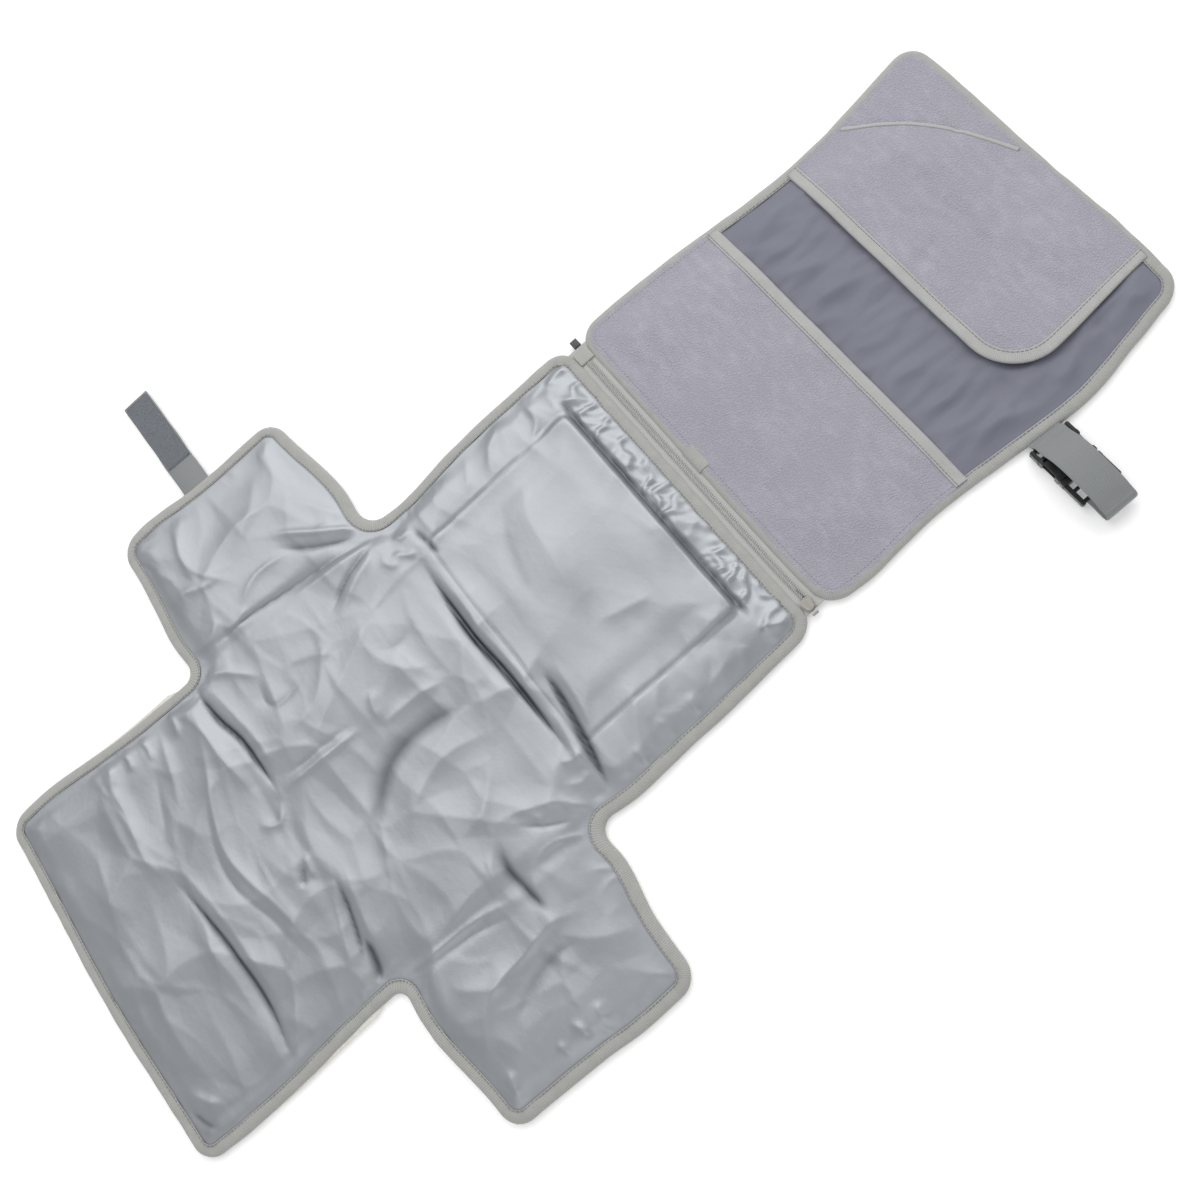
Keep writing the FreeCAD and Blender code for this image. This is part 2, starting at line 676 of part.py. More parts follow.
def strap():
    """The hanging loop: an upper run over the buckle and a return to the buckle's outer bar."""
    thick = mm("webbing")
    root = (mm("half_width + swing_air"), mm("strap_root"))
    end_x = mm("strap_end - webbing - strap_end_out")
    shoulder = (end_x, mm("bar_level + strap_shoulder"))
    peak = ((root[0] + shoulder[0]) / 2 + mm("strap_peak_out"), mm("strap_peak - webbing"))
    keep(arch("strap_upper", (root, peak, shoulder), thick), "strap_upper")

    radius = (mm("strap_shoulder") + thick + thick / 2) / 2
    middle = Vector(end_x + mm("male_air"), 0, mm("bar_level") - thick / 2 + radius)
    ys = ("strap_middle - strap_width / 2", "strap_middle + strap_width / 2")
    run = box("strap_run", ("far_bar", "strap_end - webbing - strap_end_out + male_air"), ys,
              ("bar_level - webbing / 2", "bar_level + webbing / 2"))
    eye = rod("strap_eye", "bar_radius + webbing", ("far_bar", "strap_middle", "bar_level"), "strap_width")
    solid = join("strap_return_solid", [bend(middle, radius, thick), run, eye])
    hole = rod("strap_eye_hole", "bar_radius", ("far_bar", "strap_middle", "bar_level"),
               "strap_width + 2 * past")
    keep(cut("strap_return", solid, [hole]), "strap_return")


def anchor():
    """The short webbing that holds the buckle to the clutch's edge."""
    half = "(strap_width / 2 - anchor_side)"
    eye = rod("anchor_eye", "bar_radius + webbing", ("near_bar", "strap_middle", "bar_level"), "2 * " + half)
    run = box("anchor_run", ("half_width + swing_air", "near_bar"),
              ("strap_middle - " + half, "strap_middle + " + half),
              ("strap_root - webbing - fit", "strap_root - fit"))
    solid = join("anchor_solid", [run, eye])
    hole = rod("anchor_eye_hole", "bar_radius", ("near_bar", "strap_middle", "bar_level"), "strap_width")
    keep(cut("strap_anchor", solid, [hole]), "strap_anchor")


def across_strap(half):
    """The two values of Y that lie evenly about the strap's middle."""
    return "strap_middle - (%s)" % half, "strap_middle + (%s)" % half


def buckle_socket():
    """The socket: a hollow body with side windows, and a bar for the anchor."""
    low, high = "buckle_low", "buckle_top"
    body = box("socket_body", ("female_start", "female_end"), across_strap("buckle_width / 2"), (low, high))
    slot = box("socket_slot", ("female_start - past", "socket_start - slot_wall"),
               across_strap("strap_width / 2 + slot_side"), (low + " - past", high + " + past"))
    room = box("socket_room", ("socket_start", "female_end + past"),
               across_strap("buckle_width / 2 - buckle_wall"),
               (low + " + buckle_wall", high + " - buckle_wall"))
    window = box("socket_window", ("socket_start + window_start", "female_end - window_end"),
                 across_strap("buckle_width / 2 + past"),
                 (low + " + buckle_wall + window_lip", high + " - buckle_wall - window_lip"))
    hollow = cut("socket_hollow", body, [slot, room, window])
    bar = rod("socket_bar", "bar_radius", ("near_bar", "strap_middle", "bar_level"), "buckle_width")
    keep(join("buckle_socket", [hollow, bar]), "buckle_socket")


def buckle_plate():
    """The tongue plate: a frame for the webbing, a bar, and a tongue that reaches into the socket."""
    low, high = "buckle_low", "buckle_top"
    start = "female_end + male_air"
    plate_body = box("tongue_plate", (start, "male_end"), across_strap("buckle_width / 2"),
                     (low + " + plate_lip", high + " - plate_lip"))
    slot = box("tongue_slot", (start + " + plate_solid", "male_end + past"),
               across_strap("strap_width / 2 + slot_side"), (low + " - past", high + " + past"))
    tongue = box("tongue", ("socket_start + window_start", start + " + past"), across_strap("tongue_half"),
                 ("bar_level - tongue_rise", "bar_level + tongue_rise"))
    bar = rod("tongue_bar", "bar_radius", ("far_bar", "strap_middle", "bar_level"), "buckle_width")
    keep(join("buckle_plate", [cut("tongue_frame", plate_body, [slot]), tongue, bar]), "buckle_plate")


def buckle_prongs():
    """The two spring prongs beside the tongue."""
    outer = "buckle_width / 2 - buckle_wall - prong_air"
    xs = ("female_end - prong_length", "female_end")
    zs = ("bar_level - prong_half", "bar_level + prong_half")
    near_outer, far_outer = across_strap(outer)
    near_inner, far_inner = across_strap(outer + " - prong_thick")
    keep(box("prong_near", xs, (near_outer, near_inner), zs), "buckle_prong_near")
    keep(box("prong_far", xs, (far_inner, far_outer), zs), "buckle_prong_far")


# ---------------------------------------------------------------- assembly

panel("mat_head", head_outline, None, "_back_cover")
pillow()
filling("mat_centre_foam", centre_outline(ZERO, "split"))
cloth("mat_centre_top_cover", centre_outline(ZERO, "split"), "cover + foam")
cloth("mat_centre_back_cover", centre_outline(ZERO, "split"), ZERO)
panel("mat_foot", foot_outline, "_top_cover", "_back_cover")
wing("left_wing", -1)
wing("right_wing", 1)
panel("clutch_base", base_outline, "_lining", "_shell")
panel("clutch_flap", flap_outline, "_lining", "_shell")
lower_pocket()
flap_pocket()
flap_pocket_edging()
flap_pocket_back()
zipper()
slider()
hook_tab()
strap()
anchor()
buckle_socket()
buckle_plate()
buckle_prongs()
doc.recompute()

faults = [thing.Name for thing in doc.Objects if {"Invalid", "Error"} & set(thing.State)]
faults += [thing.Label for thing in exports if thing.Shape.isNull() or not thing.Shape.isValid()]
if faults:
    raise SystemExit("not built: " + ", ".join(faults))

os.makedirs("parts", exist_ok=True)
for thing in exports:
    thing.Shape.exportStep("parts/%s.step" % thing.Label)
    print("%-28s %2d solid  %10.1f mm3" % (thing.Label, len(thing.Shape.Solids), thing.Shape.Volume))
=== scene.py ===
"""Looks of a fold-out changing pad: coated cloth over foam, bound edges, terry pockets, zipper and straps.

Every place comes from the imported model. Lengths are in metres; the pad lies flat, with +X along the
zipper and +Y towards the clutch's far edge.
"""
import json
import math

import bmesh
import bpy
import numpy as np
from mathutils import Matrix, Vector


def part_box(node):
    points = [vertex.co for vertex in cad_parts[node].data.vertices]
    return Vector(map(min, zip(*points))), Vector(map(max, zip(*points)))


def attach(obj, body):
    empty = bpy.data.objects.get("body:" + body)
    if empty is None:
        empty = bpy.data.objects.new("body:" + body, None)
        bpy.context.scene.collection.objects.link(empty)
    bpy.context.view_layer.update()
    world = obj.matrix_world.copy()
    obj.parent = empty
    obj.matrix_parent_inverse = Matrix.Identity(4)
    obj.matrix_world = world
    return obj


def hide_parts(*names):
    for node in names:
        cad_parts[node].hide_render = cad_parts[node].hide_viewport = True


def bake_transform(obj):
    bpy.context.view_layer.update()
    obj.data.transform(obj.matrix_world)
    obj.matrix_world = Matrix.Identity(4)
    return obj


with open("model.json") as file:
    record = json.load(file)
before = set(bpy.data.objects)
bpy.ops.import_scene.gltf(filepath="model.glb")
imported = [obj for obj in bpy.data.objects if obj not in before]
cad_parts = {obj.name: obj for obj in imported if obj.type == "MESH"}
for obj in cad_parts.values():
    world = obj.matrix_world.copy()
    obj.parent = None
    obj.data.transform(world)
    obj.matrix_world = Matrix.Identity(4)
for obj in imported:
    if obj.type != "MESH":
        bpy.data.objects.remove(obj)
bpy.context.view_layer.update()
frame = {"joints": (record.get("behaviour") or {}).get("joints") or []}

MM = 0.001
AXIS = {joint["name"]: Vector(joint["pos_m"]) for joint in frame["joints"] if "pos_m" in joint}


def low(node):
    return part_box(node)[0]


def high(node):
    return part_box(node)[1]


# ---------------------------------------------------------------- sizes

PANEL = high("mat_foot_binding").z              # thickness of a bound panel
HALF = high("mat_head_binding").x               # middle line to the side edge
FOOT_HALF = high("mat_foot_binding").x
BAND = high("mat_head_binding").x - high("mat_head_back_cover").x   # width of the binding
ZIP = AXIS["mat_fold"].y                        # the zipper's line
MAT_NEAR = high("mat_head_binding").y
MAT_END = low("mat_foot_binding").y
FOLD_A = AXIS["head_fold"].y
FOLD_B = AXIS["foot_fold"].y
FOLD_C = AXIS["flap_fold"].y
WING_X = AXIS["right_wing_fold"].x
WING_OUT = high("right_wing_binding").x
WING_TOP = high("right_wing_top_cover").y + BAND
WING_LOW = low("right_wing_top_cover").y - BAND
CLUTCH_NEAR = low("clutch_base_binding").y
CLUTCH_END = high("clutch_flap_binding").y
PILLOW_LOW, PILLOW_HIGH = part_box("mat_head_pillow_foam")
MOUTH = high("lower_pocket").y                  # mouth of the lower pocket
FLAP_MOUTH = low("flap_pocket").y
FLAP_SIDE = high("flap_pocket").x

HEAD_ROUND, CLUTCH_ROUND, FLAP_ROUND = 18 * MM, 19 * MM, 20 * MM
FOOT_ROUND, WING_ROUND = 16 * MM, 17 * MM
NOTCH_ROUND, LOW_NOTCH_ROUND = 19 * MM, 11 * MM
POCKET_CURVE = 40 * MM

COVER_LEVEL = PANEL - 0.3 * MM                  # a cover's edge, under the binding's upper leg
CLOTH = 0.45 * MM
TERRY_THICK = 1.0 * MM
TUCK = 4.5 * MM                                # how far a cloth runs in under the binding
EDGING_SEAM = 7.4 * MM                         # from a pocket's edge to its stitches

HEAD_TURN = 10 * MM                             # half of the cloth that bends at each fold
FOOT_TURN = 6 * MM
WING_TURN = (0.5 * MM, 14.5 * MM)               # from a wing's fold line outwards
MAT_TURN = 37 * MM                              # from the zipper's line into the head
FLAP_TURN = (28 * MM, 6 * MM)                   # before and after the clutch's fold
SEAM = 3 * MM                                   # a piece runs this far past the cloth that bends


# ---------------------------------------------------------------- materials

def shade(red, green, blue):
    """A colour given as it looks on a screen, 0 to 255."""
    def linear(value):
        value /= 255
        return value / 12.92 if value <= 0.04045 else ((value + 0.055) / 1.055) ** 2.4
    return (linear(red), linear(green), linear(blue), 1.0)


class Wire:
    """A socket of a material; arithmetic on it adds Math nodes."""

    def __init__(self, finish, socket):
        self.finish, self.socket = finish, socket

    def maths(self, operation, *values):
        return self.finish.node("Math", {"operation": operation}, dict(enumerate(values)))

    def __add__(self, other):
        return self.maths("ADD", self, other)

    def __sub__(self, other):
        return self.maths("SUBTRACT", self, other)

    def __rsub__(self, other):
        return self.maths("SUBTRACT", other, self)

    def __mul__(self, other):
        return self.maths("MULTIPLY", self, other)

    def __pow__(self, other):
        return self.maths("POWER", self, other)

    __radd__, __rmul__ = __add__, __mul__


class Finish:
    """A material in the making, with the principled shader at its end."""

    def __init__(self, name, **constants):
        self.material = bpy.data.materials.new(name)
        self.material.use_nodes = True
        self.tree = self.material.node_tree
        self.shader = self.tree.nodes["Principled BSDF"]
        for word, value in constants.items():
            self.shader.inputs[word.replace("_", " ").title().replace("Ior", "IOR")].default_value = value

    def node(self, kind, settings=None, inputs=None, output=0):
        made = self.tree.nodes.new("ShaderNode" + kind)
        for word, value in (settings or {}).items():
            setattr(made, word, value)
        for word, value in (inputs or {}).items():
            if isinstance(value, Wire):
                self.tree.links.new(value.socket, made.inputs[word])
            else:
                made.inputs[word].default_value = value
        return Wire(self, made.outputs[output])

    def done(self, colour, rough, height=None, relief=0.0):
        """Feed the surface's colour, roughness and relief in metres, and hand over the material."""
        wires = {"Base Color": colour, "Roughness": rough}
        if height:
            wires["Normal"] = self.node("Bump", inputs={"Height": height, "Distance": relief})
        for word, wire in wires.items():
            self.tree.links.new(wire.socket, self.shader.inputs[word])
        return self.material

    def place(self, stretch=(1, 1, 1), turn=0.0):
        """Positions on the object in metres, stretched and turned about Z."""
        spot = self.node("TexCoord", output="Object")
        return self.node("Mapping", inputs={"Vector": spot, "Scale": stretch, "Rotation": (0, 0, turn)})

    def along(self):
        """Lengthwise and crosswise distance on a tape, in metres."""
        return self.node("UVMap", {"uv_map": "run"})

    def part(self, vector, axis):
        return self.node("SeparateXYZ", inputs={"Vector": vector}, output=axis)

    def noise(self, size, spot=None, detail=2.0, rough=0.5):
        inputs = {"Scale": 1 / size, "Detail": detail, "Roughness": rough}
        return self.node("TexNoise", inputs={"Vector": spot or self.place(), **inputs})

    def cells(self, size, spot=None):
        return self.node("TexVoronoi", inputs={"Scale": 1 / size, "Vector": spot or self.place()})

    def ribs(self, distance, pitch):
        """A wave between 0 and 1 that repeats once every pitch of a distance."""
        angle = distance * (2 * math.pi / pitch)
        return angle.maths("SINE", angle) * 0.5 + 0.5

    def between(self, value, start, end, first=0.0, last=1.0):
        limits = {"From Min": start, "From Max": end, "To Min": first, "To Max": last}
        return self.node("MapRange", {"interpolation_type": "SMOOTHSTEP"}, {"Value": value, **limits})

    def mix(self, first, second, share):
        return self.node("Mix", {"data_type": "RGBA"}, {0: share, 6: first, 7: second}, output=2)


def silver_finish():
    """Coated cloth: a satin metal skin with a fine crinkle, with painted shade down in its folds."""
    cloth = Finish("silver_coated_cloth", metallic=0.72, coat_weight=0.1, coat_roughness=0.45)
    clouds = cloth.noise(45 * MM, detail=4)
    grain = cloth.noise(2.2 * MM, detail=3)
    crinkle = cloth.noise(9 * MM, cloth.place((1, 1.6, 1), 0.6), detail=4, rough=0.55)
    weave = cloth.ribs(cloth.part(cloth.place(turn=0.73), "X"), 0.9 * MM)
    colour = cloth.mix(shade(158, 161, 165), shade(173, 177, 182), clouds)
    worn = cloth.mix(colour, shade(184, 188, 192), cloth.between(grain, 0.55, 0.85, 0, 0.25))
    # painted shade: the mesh's fold attribute mixes in dark grey down in folds, beside the binding and round the head
    # rest, standing in for shadow
    fold = cloth.node("Attribute", {"attribute_name": "fold"}, output="Fac")
    toned = cloth.mix(worn, shade(78, 81, 86), fold)
    height = crinkle * 0.9 + grain * 0.12 + weave * 0.05
    return cloth.done(toned, clouds * 0.10 + grain * 0.06 + 0.37, height, 0.22 * MM)


def tape_finish(name="edge_tape", tone=(176, 176, 173), rib=1.5 * MM):
    """Grosgrain tape: ribs across its length, and a little dust."""
    tape = Finish(name, sheen_weight=0.25, sheen_roughness=0.5)
    ribs = tape.ribs(tape.part(tape.along(), "X"), rib)
    mottle = tape.noise(7 * MM, detail=3)
    fine = tape.noise(0.6 * MM)
    dark = shade(*(int(value * 0.86) for value in tone))
    light = shade(*(min(255, int(value * 1.06)) for value in tone))
    colour = tape.mix(dark, light, ribs * 0.45 + mottle * 0.45 + fine * 0.15)
    return tape.done(colour, mottle * 0.15 + 0.68, ribs + fine * 0.35, 0.22 * MM)


def terry_finish():
    """Terry: rows of small loops that run slantwise, with clouds of tone where the pile lies over."""
    terry = Finish("terry_cloth", sheen_weight=0.35, sheen_roughness=0.6)
    loops = terry.cells(1.1 * MM, terry.place((1, 0.72, 1), 0.73))
    fuzz = terry.noise(0.8 * MM, detail=3)
    pile = terry.noise(14 * MM, terry.place((1, 2.2, 1), 0.5), detail=4)
    clouds = terry.noise(70 * MM, detail=3)
    mask = terry.between(loops, 0.15, 0.75)
    colour = terry.mix(shade(174, 172, 184), shade(154, 152, 164), mask * 0.6 + fuzz * 0.25)
    lying = terry.between(pile * 0.6 + clouds * 0.4, 0.45, 0.7, 0, 0.5)
    toned = terry.mix(colour, shade(182, 180, 191), lying)
    return terry.done(toned, mask * 0.1 + 0.85, (1 - mask) + fuzz * 0.5 + pile * 0.8, 0.4 * MM)


def lining_finish():
    """Smooth charcoal lining with a faint sheen and a fine plain weave."""
    cloth = Finish("charcoal_lining", sheen_weight=0.2, sheen_roughness=0.35, specular_ior_level=0.4)
    spot = cloth.place()
    weave = cloth.ribs(cloth.part(spot, "X"), 0.7 * MM) * cloth.ribs(cloth.part(spot, "Y"), 0.7 * MM)
    clouds = cloth.noise(50 * MM, detail=4)
    pucker = cloth.noise(11 * MM, cloth.place((1.8, 0.7, 1)), detail=3)
    colour = cloth.mix(shade(108, 110, 123), shade(130, 132, 146), clouds * 0.7 + weave * 0.3)
    return cloth.done(colour, clouds * 0.12 + 0.42, weave * 0.25 + pucker, 0.3 * MM)


def shell_finish():
    """The clutch's outer cloth and the mat's underside: grey heather canvas."""
    cloth = Finish("heather_shell", sheen_weight=0.15)
    spot = cloth.place()
    weave = cloth.ribs(cloth.part(spot, "X"), 1.1 * MM) * cloth.ribs(cloth.part(spot, "Y"), 1.1 * MM)
    fleck = cloth.noise(2.5 * MM, cloth.place((1, 0.25, 1)), detail=3)
    colour = cloth.mix(shade(118, 120, 124), shade(156, 157, 160), fleck * 0.7 + weave * 0.4)
    return cloth.done(colour, fleck * 0.1 + 0.75, weave + fleck * 0.4, 0.25 * MM)


def webbing_finish(name="webbing", tone=(137, 139, 140)):
    """Flat webbing: fine ribs across, and faint cords lengthwise."""
    web = Finish(name, sheen_weight=0.2)
    run = web.along()
    ribs = web.ribs(web.part(run, "X"), 1.3 * MM)
    cords = web.ribs(web.part(run, "Y"), 2.1 * MM)
    fuzz = web.noise(0.7 * MM, detail=3)
    dark, light = (shade(*(int(value * share) for value in tone)) for share in (0.88, 1.08))
    colour = web.mix(dark, light, ribs * 0.42 + cords * 0.1 + fuzz * 0.48)
    return web.done(colour, fuzz * 0.12 + 0.6, ribs + cords * 0.2 + fuzz * 0.3, 0.14 * MM)


def hook_finish():
    """The hook half of a touch fastener: rows of stiff little hooks on a woven ground."""
    patch = Finish("hook_patch", sheen_weight=0.1)
    fuzz = patch.noise(0.9 * MM, detail=3)
    tips = patch.between(patch.cells(1.3 * MM), 0.1, 0.5, 1, 0)
    colour = patch.mix(shade(98, 102, 109), shade(136, 140, 146), tips * 0.7 + fuzz * 0.3)
    return patch.done(colour, fuzz * 0.15 + 0.55, tips + fuzz * 0.4, 0.6 * MM)


def plastic_finish():
    """Moulded black plastic with a soft grain and worn, paler high spots."""
    plastic = Finish("buckle_plastic", coat_weight=0.25, coat_roughness=0.15)
    grain = plastic.noise(0.7 * MM, detail=2)
    wear = plastic.noise(8 * MM, detail=4)
    colour = plastic.mix(shade(24, 24, 26), shade(46, 46, 49), plastic.between(wear, 0.45, 0.75))
    return plastic.done(colour, wear * 0.2 + 0.22, grain, 0.05 * MM)


def metal_finish():
    """The slider's plated metal, brushed and a little warm."""
    metal = Finish("zip_metal", metallic=1.0)
    brushed = metal.noise(3 * MM, metal.place((1, 12, 1)), detail=3)
    colour = metal.mix(shade(138, 135, 128), shade(168, 166, 160), metal.noise(5 * MM, detail=3))
    return metal.done(colour, brushed * 0.2 + 0.22, brushed, 0.05 * MM)


def coil_finish():
    """Nylon zipper coil."""
    nylon = Finish("zip_coil", coat_weight=0.1)
    tone = nylon.noise(4 * MM, detail=3)
    colour = nylon.mix(shade(178, 178, 176), shade(200, 200, 197), tone)
    return nylon.done(colour, tone * 0.15 + 0.4, tone, 0.03 * MM)


def thread_finish():
    """Twisted sewing thread; its dark grey is partly the thread's own colour and partly painted shade of the dip along
    each stitch line.
    """
    thread = Finish("sewing_thread", sheen_weight=0.3)
    twist = thread.noise(0.5 * MM, thread.place((1, 2, 1)), detail=2)
    colour = thread.mix(shade(112, 112, 111), shade(144, 144, 143), twist)
    return thread.done(colour, twist * 0.2 + 0.55, twist, 0.1 * MM)


def foam_finish():
    """Open-celled foam."""
    foam = Finish("soft_foam", subsurface_weight=0.1)
    cells = foam.cells(1.2 * MM)
    return foam.done(foam.mix(shade(236, 235, 228), shade(214, 212, 202), cells), cells * 0.1 + 0.85, cells, 0.4 * MM)


SILVER = silver_finish()
BINDING = tape_finish()
EDGING = tape_finish("pocket_edging", (187, 187, 185), 1.3 * MM)
TERRY = terry_finish()
LINING = lining_finish()
SHELL = shell_finish()
WEBBING = webbing_finish()
ZIP_TAPE = webbing_finish("zip_tape", (184, 184, 181))
HOOKS = hook_finish()
PLASTIC = plastic_finish()
METAL = metal_finish()
COIL = coil_finish()
THREAD = thread_finish()
FOAM = foam_finish()


# ---------------------------------------------------------------- outlines

def rounded(corners, turn=math.radians(9)):
    """A closed outline through (x, y, radius) corners, anticlockwise, each corner an arc."""
    points = []
    for index, (x, y, radius) in enumerate(corners):
        here = np.array((x, y))
        before = np.array(corners[index - 1][:2]) - here
        after = np.array(corners[(index + 1) % len(corners)][:2]) - here
        before, after = before / np.linalg.norm(before), after / np.linalg.norm(after)
        opening = math.acos(np.clip(before @ after, -1, 1))
        if radius < 1e-6:
            points.append(here)
            continue
        middle = here + (before + after) / np.linalg.norm(before + after) * radius / math.sin(opening / 2)
        start = here + before * radius / math.tan(opening / 2) - middle
        end = here + after * radius / math.tan(opening / 2) - middle
        swing = math.atan2(start[0] * end[1] - start[1] * end[0], start @ end)
        steps = max(2, int(abs(swing) / turn))
        for angle in np.linspace(0, swing, steps + 1):
            cos, sin = math.cos(angle), math.sin(angle)
            points.append(middle + (start[0] * cos - start[1] * sin, start[0] * sin + start[1] * cos))
    return np.array(points)


def mirrored(corners):
    """Corners of a right half, followed by the same on the left."""
    return corners + [(-x, y, radius) for x, y, radius in corners[::-1]]


def mat_outline():
    """The whole mat, drawn from the foot's right corner round to its left one."""
    return rounded(mirrored([
        (FOOT_HALF, MAT_END, FOOT_ROUND),
        (HALF + 1 * MM, FOLD_B - 1 * MM, 0),
        (HALF, WING_LOW, LOW_NOTCH_ROUND),
        (WING_OUT, WING_LOW, WING_ROUND),
        (WING_OUT, WING_TOP, WING_ROUND),
        (HALF, WING_TOP, NOTCH_ROUND),
        (HALF, MAT_NEAR, HEAD_ROUND)]))


def clutch_outline():
    return rounded([(HALF, CLUTCH_NEAR, CLUTCH_ROUND), (HALF, CLUTCH_END, FLAP_ROUND),
                    (-HALF, CLUTCH_END, FLAP_ROUND), (-HALF, CLUTCH_NEAR, CLUTCH_ROUND)])


MAT_OUTLINE, CLUTCH_OUTLINE = mat_outline(), clutch_outline()


def sides(line, closed=True):
    """Unit vectors along a line and to its left, one for each point."""
    if closed:
        ahead = np.roll(line, -1, 0) - np.roll(line, 1, 0)
    else:
        ahead = np.gradient(line, axis=0)
    ahead = ahead / np.linalg.norm(ahead, axis=1)[:, None]
    return ahead, np.stack([-ahead[:, 1], ahead[:, 0]], 1)


def inset(outline, distance):
    """A closed outline moved inwards."""
    edges = np.roll(outline, -1, 0) - outline
    edges /= np.linalg.norm(edges, axis=1)[:, None]
    left = np.stack([-edges[:, 1], edges[:, 0]], 1)
    both = left + np.roll(left, 1, 0)
    return outline + distance * 2 * both / (both * both).sum(1)[:, None]


def evenly(line, step, closed=True):
    """Points about one step apart on a line, and how far along it each lies."""
    if closed:
        line = np.vstack([line, line[:1]])
    lengths = np.concatenate([[0], np.cumsum(np.linalg.norm(np.diff(line, axis=0), axis=1))])
    count = max(2, int(round(lengths[-1] / step)))
    at = np.linspace(0, lengths[-1], count + 1)
    if closed:
        at = at[:-1]
    return np.stack([np.interp(at, lengths, line[:, k]) for k in range(line.shape[1])], 1), at


def depth(points, outline):
    """How far each point lies inside a closed outline, and the outline's nearest point."""
    best = np.full(len(points), np.inf)
    nearest = np.zeros((len(points), 2))
    inside = np.zeros(len(points), bool)
    x, y = points[:, 0], points[:, 1]
    for start, end in zip(outline, np.roll(outline, -1, 0)):
        run = end - start
        share = np.clip((points - start) @ run / max(run @ run, 1e-15), 0, 1)
        near = start + share[:, None] * run
        away = np.linalg.norm(points - near, axis=1)
        closer = away < best
        best[closer], nearest[closer] = away[closer], near[closer]
        if start[1] != end[1]:
            across = (start[1] > y) != (end[1] > y)
            inside ^= across & (x < run[0] * (y - start[1]) / run[1] + start[0])
    return np.where(inside, best, -best), nearest


def lay(outline, cell):
    """A fine square mesh that fills an outline, its border drawn out to the line."""
    first, last = outline.min(0), outline.max(0)
    counts = np.ceil((last - first) / cell).astype(int) + 1
    xs, ys = (np.linspace(first[k], last[k], counts[k]) for k in (0, 1))
    points = np.stack(np.meshgrid(xs, ys, indexing="ij"), -1).reshape(-1, 2)
    within, nearest = depth(points, outline)
    index = np.arange(len(points)).reshape(counts)
    quads = np.stack([index[:-1, :-1], index[1:, :-1], index[1:, 1:], index[:-1, 1:]], -1).reshape(-1, 4)
    quads = quads[(within[quads] > -1e-7).all(1)]
    used, quads = np.unique(quads, return_inverse=True)
    quads = quads.reshape(-1, 4)
    points, within, nearest = points[used], within[used], nearest[used]
    border = (np.bincount(quads.ravel(), minlength=len(points)) < 4) & (within < 1.5 * cell)
    points[border] = nearest[border]
    return points, quads


# ---------------------------------------------------------------- meshes

SOFT_PIECES = []


def vertex_normals(points, faces):
    """Smooth normals of a mesh of quads."""
    corners = points[faces]
    flat = np.cross(corners[:, 2] - corners[:, 0], corners[:, 3] - corners[:, 1])
    normals = np.zeros_like(points)
    for k in range(faces.shape[1]):
        np.add.at(normals, faces[:, k], flat)
    return normals / np.maximum(np.linalg.norm(normals, axis=1), 1e-12)[:, None]


def mesh_object(name, points, faces, material, corner_normals=None, run=None):
    """An object from points and faces; run is the lengthwise and crosswise distance of each corner."""
    mesh = bpy.data.meshes.new(name)
    mesh.from_pydata(np.asarray(points).tolist(), [], [list(map(int, face)) for face in faces])
    mesh.materials.append(material)
    mesh.shade_smooth()
    if run is not None:
        layer = mesh.uv_layers.new(name="run")
        layer.uv.foreach_set("vector", np.asarray(run, np.float32).ravel())
    if corner_normals is not None:
        mesh.normals_split_custom_set(np.asarray(corner_normals, float).reshape(-1, 3).tolist())
    made = bpy.data.objects.new(name, mesh)
    bpy.context.scene.collection.objects.link(made)
    SOFT_PIECES.append(made)
    return made


def cloth_body(name, points, quads, normals, thick, material):
    """Cloth with a thickness: a top, an underside and the cut edge, shaded like one smooth sheet."""
    used, quads = np.unique(quads, return_inverse=True)
    quads = quads.reshape(-1, 4)
    points, normals = points[used], normals[used]
    count = len(points)
    edges = np.concatenate([quads[:, [k, (k + 1) % 4]] for k in range(4)])
    keys = np.sort(edges, 1)
    _, first, times = np.unique(keys[:, 0] * count + keys[:, 1], return_index=True, return_counts=True)
    rim = edges[first[times == 1]]
    faces = np.concatenate([quads, quads[:, ::-1] + count, np.stack(
        [rim[:, 1], rim[:, 0], rim[:, 0] + count, rim[:, 1] + count], 1)])
    everything = np.concatenate([points, points - normals * thick])
    corners = everything[faces[2 * len(quads):]]
    flat = np.cross(corners[:, 2] - corners[:, 0], corners[:, 3] - corners[:, 1])
    flat /= np.maximum(np.linalg.norm(flat, axis=1), 1e-12)[:, None]
    shading = np.concatenate([normals[quads], -normals[quads[:, ::-1]], np.repeat(flat[:, None], 4, 1)])
    return mesh_object(name, everything, faces, material, shading)


def portions(points, quads, zones):
    """The faces of a mesh, shared out between zones: (name, faces, zone) for each that has any."""
    middles = points[quads].mean(1)
    free = np.ones(len(quads), bool)
    for name, test, *carried in zones:
        mine = free & test(middles[:, 0], middles[:, 1])
        free &= ~mine
        if mine.any():
            yield name, mine, carried


def carry(piece, carried):
    """Ride on one body; a piece between two bodies only has its placement baked into its mesh."""
    if len(carried) == 1:
        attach(piece, carried[0])
    else:
        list(carried)
        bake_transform(piece)
    return piece


# ---------------------------------------------------------------- what moves with what

def everywhere(x, y):
    return np.ones(len(x), bool)


def row(y):
    return (0, y, 0)


HEAD_ZONE = ("clutch_base", "mat_head", row(ZIP), row(ZIP - MAT_TURN))
CENTRE_ZONE = ("mat_head", "mat_centre", row(FOLD_A + HEAD_TURN), row(FOLD_A - HEAD_TURN))
FOOT_ZONE = ("mat_centre", "mat_foot", row(FOLD_B + FOOT_TURN), row(FOLD_B - FOOT_TURN))
WING_EDGE = WING_X + WING_TURN[0]
WING_BENT = WING_X + WING_TURN[1]


def wing_zone(side, start=(WING_EDGE, 0), end=(WING_BENT, 0)):
    body = "left_wing" if side < 0 else "right_wing"
    return ("mat_centre", body, (side * start[0], start[1], 0), (side * end[0], end[1], 0))


